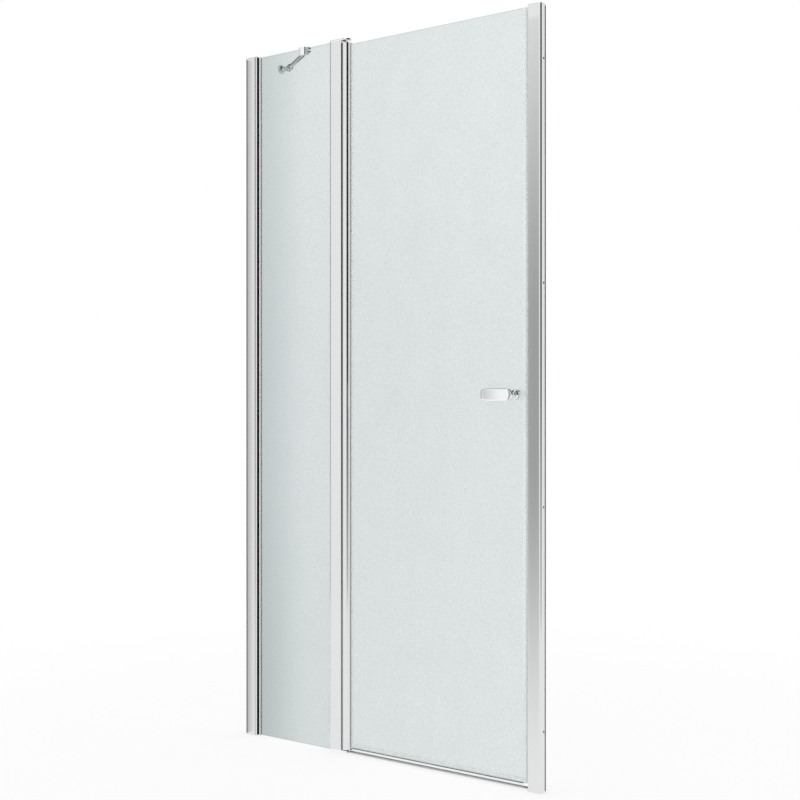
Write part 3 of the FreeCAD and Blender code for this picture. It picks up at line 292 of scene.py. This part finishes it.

# Tints of the panes, which are painted shade and reflection: a row each for top, middle and foot, with a
# colour for either side.
DOOR_SIDES, FIXED_SIDES = (-0.12, 0.45), (-0.47, -0.25)
DOOR_PAINTED_SHADE = (
    ((0.755, 0.790, 0.795), (0.790, 0.825, 0.830)),
    ((0.715, 0.755, 0.760), (0.748, 0.785, 0.790)),
    ((0.720, 0.765, 0.765), (0.750, 0.790, 0.790)),
)
FIXED_PAINTED_SHADE = (
    ((0.570, 0.625, 0.625), (0.755, 0.790, 0.795)),
    ((0.525, 0.580, 0.585), (0.710, 0.750, 0.755)),
    ((0.450, 0.500, 0.505), (0.670, 0.715, 0.715)),
)

finishes = {
    "bright_aluminium": drawn_metal(
        "bright_aluminium", BRIGHT_LIGHT, BRIGHT_DARK, 0.08, 0.18, UPRIGHT_FINE, UPRIGHT_BROAD),
    "chrome": plated_metal("chrome", (0.92, 0.925, 0.935), (0.86, 0.865, 0.875), 0.03, 0.08),
    "clear_glass": pane_glass("door_glass", *DOOR_PAINTED_SHADE, *DOOR_SIDES),
    "clear_seal": clear_seal("clear_seal", (500.0, 500.0, 4.0)),
    "black_gasket": lipped_rubber("black_gasket", LIP_X, LIP_TIP_X),
    "magnet_rubber": moulded("magnet_rubber", (0.74, 0.75, 0.75), (0.66, 0.67, 0.67), 0.45, 0.6, 900.0),
    "pin_steel": drawn_metal(
        "pin_steel", (0.68, 0.68, 0.69), (0.58, 0.58, 0.59), 0.18, 0.32, TURNED_FINE, TURNED_BROAD),
    "bearing_plastic": moulded(
        "bearing_plastic", (0.80, 0.81, 0.81), (0.72, 0.73, 0.73), 0.35, 0.5, 700.0),
}
# Pieces whose grain runs another way, or whose tint differs, have a finish of their own; the brace's
# darker tint is painted shade.
# The brace's chrome is the chrome made darker: painted shade.
brace_chrome_painted_shade = plated_metal("brace_chrome_painted_shade", (0.70, 0.705, 0.715), (0.60, 0.605, 0.615), 0.03, 0.08)
own_finishes = {
    # The threshold's grain runs level, and its lighter tone than the bright aluminium is painted light.
    "threshold_strip": drawn_metal(
        "threshold_aluminium_painted_light", (0.95, 0.955, 0.96), (0.89, 0.895, 0.90), 0.10, 0.20,
        LEVEL_FINE, LEVEL_BROAD),
    "door_bottom_seal": clear_seal("bottom_seal", (4.0, 500.0, 500.0), SEAL_SHADE_BAND),
    "fixed_glass": pane_glass("fixed_glass", *FIXED_PAINTED_SHADE, *FIXED_SIDES),
    "brace_rod": brace_chrome_painted_shade,
    "brace_rosette": brace_chrome_painted_shade,
}

ground_edge = moulded("ground_edge", (0.70, 0.78, 0.77), (0.60, 0.69, 0.68), 0.4, 0.6, 1200.0)
slots = {row["node"]: row["material_slot"] for row in frame["record"]["subparts"]}


def finish_of(node):
    """A node's own finish, or else that of its slot."""
    return own_finishes.get(node, finishes[slots[node]])


def let_light_through(piece):
    """A clear piece neither shades the floor nor dims what it covers."""
    piece.visible_shadow = False
    piece.visible_diffuse = False


for node, slot in slots.items():
    mesh = nodes[node].data
    mesh.materials.clear()
    mesh.materials.append(finish_of(node))
    if slot == "clear_seal":
        let_light_through(nodes[node])


# In degrees: where shading stays smooth, and how far faces may turn and still count as one flat.
SMOOTH_ANGLE, FLAT_ANGLE = 32.0, 1.0


def begin_piece(name):
    """Names the active piece and opens it for editing, all of it selected."""
    piece = bpy.context.object
    piece.name = name
    bpy.ops.object.mode_set(mode="EDIT")
    bpy.ops.mesh.select_all(action="SELECT")
    return piece


def select_points(piece, wanted):
    """Selects the points of a piece for which wanted(place) is true."""
    bpy.ops.mesh.select_mode(type="VERT")
    bpy.ops.mesh.select_all(action="DESELECT")
    bpy.ops.object.mode_set(mode="OBJECT")
    for point in piece.data.vertices:
        point.select = wanted(point.co)
    bpy.ops.object.mode_set(mode="EDIT")


def select_edges(piece, wanted):
    """Selects the edges of a piece for which wanted(one end, other end) is true."""
    bpy.ops.mesh.select_mode(type="EDGE")
    bpy.ops.mesh.select_all(action="DESELECT")
    bpy.ops.object.mode_set(mode="OBJECT")
    points = piece.data.vertices
    for edge in piece.data.edges:
        edge.select = wanted(points[edge.vertices[0]].co, points[edge.vertices[1]].co)
    bpy.ops.object.mode_set(mode="EDIT")


def bevel_sharp_edges(width, segments, sharpness):
    """Rounds every edge that turns by more than the sharpness."""
    bpy.ops.mesh.select_mode(type="EDGE")
    bpy.ops.mesh.select_all(action="DESELECT")
    bpy.ops.mesh.edges_select_sharp(sharpness=math.radians(sharpness))
    bpy.ops.mesh.bevel(offset=width, segments=segments, affect="EDGES", clamp_overlap=True)


def end_piece(piece, node, body):
    """Closes a piece: outward normals, smooth rounds, its finish and its place on a body."""
    bpy.ops.mesh.select_all(action="SELECT")
    bpy.ops.mesh.remove_doubles(threshold=NEAR)
    bpy.ops.mesh.normals_make_consistent(inside=False)
    bpy.ops.object.mode_set(mode="OBJECT")
    bpy.ops.object.shade_smooth_by_angle(angle=math.radians(SMOOTH_ANGLE))
    piece.data.materials.clear()
    piece.data.materials.append(finish_of(node))
    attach(piece, body)
    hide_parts(node)
    bpy.ops.object.select_all(action="DESELECT")


def merged_copy(node):
    """A copy of a built piece with its faces joined, open for editing."""
    bpy.ops.object.select_all(action="DESELECT")
    piece = bpy.data.objects.new(node, nodes[node].data.copy())
    bpy.context.collection.objects.link(piece)
    bpy.context.view_layer.objects.active = piece
    piece.select_set(True)
    bpy.ops.mesh.customdata_custom_splitnormals_clear()
    begin_piece(node + "_shaped")
    bpy.ops.mesh.remove_doubles(threshold=NEAR / 10)
    return piece


def join_flat_faces():
    """Makes one face of those of a piece that lie in one flat."""
    bpy.ops.mesh.select_all(action="SELECT")
    bpy.ops.mesh.dissolve_limited(angle_limit=math.radians(FLAT_ANGLE))


def box_piece(node):
    """A block the size of a node, at its place, open for editing."""
    low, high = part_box(node)
    bpy.ops.object.select_all(action="DESELECT")
    bpy.ops.mesh.primitive_cube_add(size=1.0, location=(0, 0, 0))
    piece = begin_piece(node + "_shaped")
    bpy.ops.transform.resize(value=high - low, center_override=(0, 0, 0))
    bpy.ops.transform.translate(value=(low + high) / 2)
    return piece, low, high


def fill_box(piece, low, high):
    """Opens a piece and stretches it to reach from the low to the high corner."""
    places = [point.co for point in piece.data.vertices]
    least = [min(place[axis] for place in places) for axis in range(3)]
    most = [max(place[axis] for place in places) for axis in range(3)]
    middle = [(a + b) / 2 for a, b in zip(least, most)]
    stretch = [(high[axis] - low[axis]) / (most[axis] - least[axis]) for axis in range(3)]
    bpy.ops.object.mode_set(mode="EDIT")
    bpy.ops.mesh.select_all(action="SELECT")
    bpy.ops.transform.resize(value=stretch, center_override=middle)
    bpy.ops.transform.translate(value=[(low[axis] + high[axis]) / 2 - middle[axis] for axis in range(3)])


# Where the grip's block is cut, as shares of its length and height, before it is rounded.
GRIP_CUTS_ALONG = (0.6, 0.78)
GRIP_CUTS_UP = (0.35, 0.65)
GRIP_ROUNDING = 3
GRIP_TAPER = 3.6 * MM
GRIP_SLANT, GRIP_NOSE = 6.0 * MM, 11.0 * MM


def handle_grip():
    """The pull: a soft bar, full and round at the stem and falling back towards its free end."""
    piece, low, high = box_piece("handle_grip")
    select_points(piece, lambda p: p.x < low.x + NEAR and p.y < low.y + NEAR)
    bpy.ops.transform.translate(value=(0, GRIP_TAPER, 0))
    select_points(piece, lambda p: p.x > high.x - NEAR and p.y < low.y + NEAR)
    bpy.ops.transform.translate(value=(-GRIP_SLANT, 0, 0))
    for cuts, axis in ((GRIP_CUTS_ALONG, 0), (GRIP_CUTS_UP, 2)):
        across = [1.0 if number == axis else 0.0 for number in range(3)]
        for share in cuts:
            bpy.ops.mesh.select_all(action="SELECT")
            bpy.ops.mesh.bisect(plane_co=low + (high - low) * share, plane_no=across)
    middle, reach = (low.z + high.z) / 2, (high.z - low.z) / 2
    nose = high.x - GRIP_SLANT - NEAR
    select_points(piece, lambda p: p.x > nose and abs(p.z - middle) > reach - NEAR)
    bpy.ops.transform.translate(value=(-GRIP_NOSE, 0, 0))
    bpy.ops.object.mode_set(mode="OBJECT")
    rounding = piece.modifiers.new("rounding", "SUBSURF")
    rounding.levels = GRIP_ROUNDING
    rounding.render_levels = GRIP_ROUNDING
    bpy.ops.object.modifier_apply(modifier=rounding.name)
    fill_box(piece, low, high)
    end_piece(piece, "handle_grip", "door")


ROUND_STEPS = 7
TURNED_POINTS = 64


def rounded_rim(height, radius, rise, inset):
    """The steps of a profile round a rim, from (height, radius) on: rise along and inset inwards."""
    steps = []
    for number in range(1, ROUND_STEPS + 1):
        angle = math.radians(90 * number / ROUND_STEPS)
        steps.append((height + rise * math.sin(angle), radius - inset * (1 - math.cos(angle))))
    return steps


def turned_piece(node, axis, way, profile):
    """A piece turned about a level axis (0 for X, 1 for Y), left open for editing.

    The profile gives (distance along the axis, radius) from the low end of the node's box, or from its
    high end when way is -1.
    """
    low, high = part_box(node)
    place = (low + high) / 2
    place[axis] = low[axis] if way > 0 else high[axis]
    bpy.ops.object.select_all(action="DESELECT")
    bpy.ops.mesh.primitive_circle_add(vertices=TURNED_POINTS, radius=profile[0][1], fill_type="NGON")
    piece = begin_piece(node + "_shaped")
    bpy.ops.transform.rotate(value=math.radians(90), orient_axis="YX"[axis], center_override=(0, 0, 0))
    bpy.ops.transform.translate(value=place)
    for (before, old_radius), (after, new_radius) in zip(profile, profile[1:]):
        step = [0.0, 0.0, 0.0]
        step[axis] = way * (after - before)
        bpy.ops.mesh.extrude_region_move(TRANSFORM_OT_translate={"value": step})
        stretch = [new_radius / old_radius] * 3
        stretch[axis] = 1.0
        bpy.ops.transform.resize(value=stretch, center_override=place)
    return piece


def bore(piece, node, axis, way, depth, wide, narrow):
    """Drills a blind hole into the first end of a turned piece.

    Axis and way are those of the turned piece, wide is the radius of that end and narrow that of the hole.
    """
    low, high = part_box(node)
    end = low[axis] if way > 0 else high[axis]
    select_points(piece, lambda p: abs(p[axis] - end) < NEAR)
    bpy.ops.mesh.select_mode(type="FACE")
    bpy.ops.mesh.inset(thickness=wide - narrow)
    step = [0.0, 0.0, 0.0]
    step[axis] = way * depth
    bpy.ops.mesh.extrude_region_move(TRANSFORM_OT_translate={"value": step})


BOLT_PLAY = 0.1 * MM
STEM_FOOT, STEM_NECK, STEM_RIM = 12.0 * MM, 6.4 * MM, 1.2 * MM
STEM_STEPS = 18
STEM_FLARE = 5.0
KNOB_RIM = 4.0 * MM


def handle_stem():
    """The stem: a round foot on the glass that flares out of the neck that carries the grip."""
    low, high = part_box("handle_stem")
    profile = [(0.0, STEM_FOOT), (STEM_RIM, STEM_FOOT)]
    for number in range(1, STEM_STEPS + 1):
        share = number / STEM_STEPS
        radius = STEM_NECK + (STEM_FOOT - STEM_NECK) * (1 - share) ** STEM_FLARE
        profile.append((STEM_RIM + (high.y - low.y - STEM_RIM) * share, radius))
    piece = turned_piece("handle_stem", 1, -1, profile)
    bolt_low, bolt_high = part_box("handle_bolt")
    hole = (bolt_high.x - bolt_low.x) / 2 + BOLT_PLAY
    bore(piece, "handle_stem", 1, -1, high.y - bolt_low.y + BOLT_PLAY, STEM_FOOT, hole)
    end_piece(piece, "handle_stem", "door")


def inner_knob():
    """The knob on the shower side, with a round rim."""
    low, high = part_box("inner_knob")
    radius = (high.x - low.x) / 2
    plain = high.y - low.y - KNOB_RIM
    profile = [(0.0, radius), (plain, radius)]
    profile += rounded_rim(plain, radius, KNOB_RIM, KNOB_RIM)
    piece = turned_piece("inner_knob", 1, 1, profile)
    bolt_low, bolt_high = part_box("handle_bolt")
    hole = (bolt_high.x - bolt_low.x) / 2 + BOLT_PLAY
    bore(piece, "inner_knob", 1, 1, bolt_high.y - low.y + BOLT_PLAY, radius, hole)
    end_piece(piece, "inner_knob", "door")


ROSETTE_RIM, ROSETTE_DOME = 1.5 * MM, 7.5 * MM
ROSETTE_NECK, ROSETTE_NECK_END = 6.0 * MM, 21.0 * MM
ROSETTE_EASE = 1.0 * MM
EYE_RADIUS, EYE_HOLE, EYE_THICKNESS = 6.0 * MM, 3.05 * MM, 6.0 * MM
EYE_POINTS = 48
STUD_HOLE, STUD_DEPTH = 3.0 * MM, 12.0 * MM


def brace_rosette():
    """The rosette on the wall: a dome, a neck and the flat eye that the fork of the rod holds."""
    low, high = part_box("brace_rosette")
    centre = (low + high) / 2
    eye_x = high.x - EYE_RADIUS
    bpy.ops.object.select_all(action="DESELECT")
    bpy.ops.mesh.primitive_circle_add(vertices=EYE_POINTS, radius=EYE_RADIUS, fill_type="NOTHING")
    eye = begin_piece("rosette_eye")
    bpy.ops.mesh.primitive_circle_add(vertices=EYE_POINTS, radius=EYE_HOLE, fill_type="NOTHING")
    bpy.ops.mesh.select_all(action="SELECT")
    bpy.ops.mesh.bridge_edge_loops()
    bpy.ops.transform.translate(value=(eye_x, centre.y, centre.z - EYE_THICKNESS / 2))
    rim = (EYE_RADIUS + EYE_HOLE) / 2
    select_points(eye, lambda p: p.x < eye_x - NEAR and math.hypot(p.x - eye_x, p.y - centre.y) > rim)
    bpy.ops.transform.translate(value=(low.x + ROSETTE_NECK_END - eye_x, 0, 0))
    bpy.ops.mesh.select_all(action="SELECT")
    bpy.ops.mesh.extrude_region_move(TRANSFORM_OT_translate={"value": (0, 0, EYE_THICKNESS)})
    bpy.ops.mesh.select_all(action="SELECT")
    bpy.ops.mesh.normals_make_consistent(inside=False)
    bpy.ops.object.mode_set(mode="OBJECT")
    radius = high.z - centre.z - NEAR
    profile = [(0.0, radius), (ROSETTE_RIM, radius)]
    profile += rounded_rim(ROSETTE_RIM, radius, ROSETTE_DOME, radius - ROSETTE_NECK - ROSETTE_EASE)
    profile.append((ROSETTE_RIM + ROSETTE_DOME + ROSETTE_EASE, ROSETTE_NECK))
    profile.append((ROSETTE_NECK_END - ROSETTE_EASE, ROSETTE_NECK))
    profile += rounded_rim(ROSETTE_NECK_END - ROSETTE_EASE, ROSETTE_NECK, ROSETTE_EASE, ROSETTE_EASE)
    piece = turned_piece("brace_rosette", 0, 1, profile)
    bore(piece, "brace_rosette", 0, 1, STUD_DEPTH, radius, STUD_HOLE)
    bpy.ops.object.mode_set(mode="OBJECT")
    eye.select_set(True)
    bpy.ops.object.join()
    bpy.ops.object.mode_set(mode="EDIT")
    end_piece(piece, "brace_rosette", "frame")


CLAMP_ROUND, CLAMP_STEPS = 3.2 * MM, 6


def brace_clamp():
    """The clamp on the fixed pane: a copy of the built one whose upright front edges are full round."""
    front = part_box("brace_clamp")[0].y + NEAR
    piece = merged_copy("brace_clamp")
    join_flat_faces()
    select_edges(piece, lambda a, b: max(a.y, b.y) < front and abs(a.z - b.z) > CLAMP_ROUND)
    bpy.ops.mesh.bevel(offset=CLAMP_ROUND, segments=CLAMP_STEPS, affect="EDGES")
    end_piece(piece, "brace_clamp", "frame")


ARRIS, ARRIS_SHARPNESS = 0.7 * MM, 60.0
PANE_FACE = 0.95


def glass_pane(node, body):
    """A pane with its arrises ground off and its edges left matt."""
    piece = merged_copy(node)
    bevel_sharp_edges(ARRIS, 1, ARRIS_SHARPNESS)
    end_piece(piece, node, body)
    piece.data.materials.append(ground_edge)
    for face in piece.data.polygons:
        face.material_index = int(abs(face.normal.y) < PANE_FACE)
    let_light_through(piece)


SOFT_STEPS, SOFT_SHARPNESS = 3, 40.0
ROD_ROUND, FOOT_ROUND = 0.8 * MM, 0.6 * MM


def softened(node, body, width):
    """A copy of a built piece with every sharp edge rounded."""
    piece = merged_copy(node)
    join_flat_faces()
    bevel_sharp_edges(width, SOFT_STEPS, SOFT_SHARPNESS)
    end_piece(piece, node, body)


handle_grip()
handle_stem()
inner_knob()
brace_rosette()
brace_clamp()
glass_pane("fixed_glass", "frame")
glass_pane("door_glass", "door")
softened("brace_rod", "frame", ROD_ROUND)
softened("hinge_foot", "frame", FOOT_ROUND)

# The studio has a white floor and surround. Only reflections show the dark and grey cards in it.
FLOOR_RADIUS, FLOOR_POINTS = 3.0, 96
FLOOR_DROP = 0.5 * MM
FLOOR_GRAIN = 3.0
FLOOR_DARK, FLOOR_LIGHT = 0.94, 0.97
# Near the door this share of the floor's tone is the light on it, which shows the shadow; far off none is.
SHADOW_SHARE = 0.3
SHADOW_FADE = (0.9 * FLOOR_RADIUS, 0.3 * FLOOR_RADIUS)

# The card beside the left channel stands in for a wall, with painted shade in its corner: dark as far as
# the first depth, then grey from the second on.
CARD_GAP = 3.0 * MM
CARD_FRONT, CARD_BACK = -55.0 * MM, -12.0 * MM
SIDE_DARK_END, SIDE_GREY_FROM = -23.0 * MM, -24.6 * MM
SIDE_FADE = (-17.0 * MM, CARD_FRONT)
SIDE_DARK, SIDE_GREY, SIDE_PALE = 0.05, 0.55, 0.96

# The card in front of the right channel: darkest where two fades in height meet.
FRONT_CARD_Y = -113.0 * MM
FRONT_CARD_LEFT, FRONT_CARD_RIGHT = 395.0 * MM, 452.0 * MM
FRONT_FADE_UP, FRONT_FADE_DOWN = (-0.05, 0.85), (2.3, 1.1)
FRONT_DARK = 0.43

# The card in front of the grip, and the narrow dark ones behind the right channel and before the hinge;
# the one before the hinge is painted shade for the gap between post and stile.
GRIP_CARD_LEFT, GRIP_CARD_RIGHT, GRIP_CARD_SPARE = 262.0 * MM, 393.0 * MM, 20.0 * MM
GRIP_FADE, GRIP_DARK = (275.0 * MM, 352.0 * MM), 0.69
WALL_CARD_WIDTH, WALL_CARD_GAP = 6.8 * MM, 2.5 * MM
HINGE_SHADE_CARD_Y = -15.0 * MM
HINGE_SHADE_CARD_LEFT, HINGE_SHADE_CARD_RIGHT = -139.8 * MM, -135.4 * MM
NARROW_DARK = 0.02

# Dark parts of the surround, by turn and tilt in degrees: an edge fades in from first to second angle.
DARK_RIGHT_START, DARK_RIGHT_END, DARK_RIGHT_FOOT = (-56.0, -42.0), (62.0, 30.0), (-17.0, 4.0)
DARK_RIGHT_DEPTH = 0.99
# The part at the back is given from its own turn; it is darker beyond one more edge.
DARK_BACK_TURN = 148.0
DARK_BACK_START, DARK_BACK_END = (-78.0, -48.0), (82.0, 64.0)
DARK_BACK_FOOT, DARK_BACK_TOP = (-20.0, 2.0), (70.0, 45.0)
DARK_BACK_DEPTH, DARK_BACK_MORE, DARK_BACK_MORE_EDGE = 0.45, 0.43, (26.0, 4.0)


def grey(level):
    """A colour as grey as the level, from 0 to 1."""
    return (level, level, level)


def ray_kinds(start):
    """Three shades, each 1 for one kind of ray: from the camera, off a mirror and through glass."""
    seen = start.node("ShaderNodeLightPath", output="Is Camera Ray")
    return seen, seen.beside("Is Glossy Ray"), seen.beside("Is Transmission Ray")


def metal_rays(start):
    """1 for rays that a mirror sent out, and 0 for those that came through glass."""
    bounces = start.node("ShaderNodeLightPath", output="Glossy Depth")
    return start.math("GREATER_THAN", bounces, 0.5) * (1 - bounces.beside("Is Transmission Ray"))


def studio_floor():
    """A white floor that shows the door's shadow and fades into the surround."""
    bpy.ops.object.select_all(action="DESELECT")
    bpy.ops.mesh.primitive_circle_add(
        vertices=FLOOR_POINTS, radius=FLOOR_RADIUS, fill_type="NGON", location=(0, 0, -FLOOR_DROP))
    floor = bpy.context.object
    floor.name = "floor"
    material, shader, start = new_finish("floor", Roughness=0.9)
    paper = start.grain(even(FLOOR_GRAIN))
    feed(shader, Base_Color=paper.between(grey(FLOOR_DARK), grey(FLOOR_LIGHT)))
    from_camera, from_mirror, from_glass = ray_kinds(start)
    away = start.node("ShaderNodeVectorMath", {"operation": "LENGTH"}, {0: start.place()}, "Value")
    shadow = away.rise(*SHADOW_FADE) * (1 - metal_rays(start)) * SHADOW_SHARE
    lit = (from_camera + from_mirror + from_glass) * (1 - shadow)
    white = start.node("ShaderNodeEmission", None, {"Color": (1, 1, 1, 1), "Strength": 1.0})
    shaded = Shade(start.tree, shader.outputs[0])
    surface = start.node("ShaderNodeMixShader", None, {0: lit, 1: shaded, 2: white})
    start.tree.links.new(surface.socket, start.tree.nodes["Material Output"].inputs["Surface"])
    floor.data.materials.append(material)


def mirror_card(name, low, high, level_of):
    """A card from low to high that only reflections show; level_of gives its colour from a Shade."""
    bpy.ops.object.select_all(action="DESELECT")
    bpy.ops.mesh.primitive_cube_add(size=1.0, location=(0, 0, 0))
    card = begin_piece(name)
    bpy.ops.transform.resize(value=[b - a for a, b in zip(low, high)], center_override=(0, 0, 0))
    bpy.ops.transform.translate(value=[(a + b) / 2 for a, b in zip(low, high)])
    bpy.ops.object.mode_set(mode="OBJECT")
    material, _, start = new_finish(name)
    seen = start.node("ShaderNodeEmission", None, {"Color": level_of(start), "Strength": 1.0})
    clear = start.node("ShaderNodeBsdfTransparent")
    surface = start.node("ShaderNodeMixShader", None, {0: metal_rays(start), 1: clear, 2: seen})
    start.tree.links.new(surface.socket, start.tree.nodes["Material Output"].inputs["Surface"])
    card.data.materials.append(material)


def painted_corner_shade(start):
    """Painted corner shade: dark beside the channel's edge, then from grey to nearly white away from it.
    """
    depth = start.along("Y")
    away = depth.rise(*SIDE_FADE).between(grey(SIDE_GREY), grey(SIDE_PALE))
    return depth.rise(SIDE_DARK_END, SIDE_GREY_FROM).between(grey(SIDE_DARK), away)


def front_grey(start):
    """Darkest a little above the middle of the door's height."""
    height = start.along("Z")
    share = height.rise(*FRONT_FADE_UP) * height.rise(*FRONT_FADE_DOWN)
    return share.between(grey(1.0), grey(FRONT_DARK))


def grip_grey(start):
    """From grey, in front of the grip's free end, to white."""
    return start.along("X").rise(*GRIP_FADE).between(grey(GRIP_DARK), grey(1.0))


def plain_dark(start):
    """Nearly black all over, so nothing is built from the Shade."""
    return (*grey(NARROW_DARK), 1.0)


def studio_cards():
    """The cards close to the door, which give its edges their dark and grey lines."""
    low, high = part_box("left_wall_channel")
    card_x = low.x - CARD_GAP
    mirror_card("side_corner_shade_card", (card_x - MM, CARD_FRONT, 0.0), (card_x, CARD_BACK, high.z), painted_corner_shade)
    low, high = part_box("right_wall_channel")
    mirror_card("front_card", (FRONT_CARD_LEFT, FRONT_CARD_Y - MM, 0.0),
                (FRONT_CARD_RIGHT, FRONT_CARD_Y, high.z), front_grey)
    mirror_card("wall_card", (high.x + NEAR, high.y + WALL_CARD_GAP, 0.0),
                (high.x + WALL_CARD_WIDTH, high.y + WALL_CARD_GAP + MM, high.z), plain_dark)
    low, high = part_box("handle_grip")
    mirror_card("grip_card", (GRIP_CARD_LEFT, FRONT_CARD_Y - MM, low.z - GRIP_CARD_SPARE),
                (GRIP_CARD_RIGHT, FRONT_CARD_Y, high.z + GRIP_CARD_SPARE), grip_grey)
    low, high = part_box("door_stile")
    # A dark card of painted shade for the gap between the hinge post and the door's stile, seen in
    # reflections.
    mirror_card("hinge_gap_shade_card", (HINGE_SHADE_CARD_LEFT, HINGE_SHADE_CARD_Y - MM, low.z),
                (HINGE_SHADE_CARD_RIGHT, HINGE_SHADE_CARD_Y, high.z), plain_dark)


def studio_world():
    """A white surround, with dark parts to the right and at the back that only reflections show."""
    world = bpy.data.worlds.new("studio")
    bpy.context.scene.world = world
    world.use_nodes = True
    start = Shade(world.node_tree)
    background = world.node_tree.nodes["Background"]
    direction = start.node("ShaderNodeTexCoord", output="Generated")
    right = start.node("ShaderNodeSeparateXYZ", None, {0: direction}, "X")
    inward, upward = right.beside("Y"), right.beside("Z")
    turn = start.math("ARCTAN2", inward, right) * (180 / math.pi)
    tilt = start.math("ARCSINE", upward) * (180 / math.pi)
    at_right = turn.rise(*DARK_RIGHT_START) * turn.rise(*DARK_RIGHT_END) * tilt.rise(*DARK_RIGHT_FOOT)
    from_back = start.math("WRAP", turn - DARK_BACK_TURN, 180.0, -180.0)
    at_back = from_back.rise(*DARK_BACK_START) * from_back.rise(*DARK_BACK_END)
    at_back = at_back * tilt.rise(*DARK_BACK_FOOT) * tilt.rise(*DARK_BACK_TOP)
    back_depth = DARK_BACK_DEPTH + DARK_BACK_MORE * from_back.rise(*DARK_BACK_MORE_EDGE)
    mirrored = 1 - at_right * DARK_RIGHT_DEPTH - at_back * back_depth
    bounces = start.node("ShaderNodeLightPath", output="Glossy Depth")
    in_mirror = start.math("GREATER_THAN", bounces, 0.5)
    level = in_mirror * mirrored + (1 - in_mirror)
    world.node_tree.links.new(level.socket, background.inputs["Strength"])
    background.inputs["Color"].default_value = (1, 1, 1, 1)


studio_floor()
studio_cards()
studio_world()

camera_data = bpy.data.cameras.new("camera")
camera_data.lens = CAMERA_LENS
camera_data.sensor_width = CAMERA_SENSOR
camera_data.shift_y = CAMERA_SHIFT_UP
camera = bpy.data.objects.new("camera", camera_data)
bpy.context.scene.collection.objects.link(camera)
camera.location = CAMERA_PLACE
camera.rotation_euler = (math.pi / 2, 0, CAMERA_TURN)
bpy.context.scene.camera = camera
bpy.context.scene.view_settings.view_transform = "Standard"
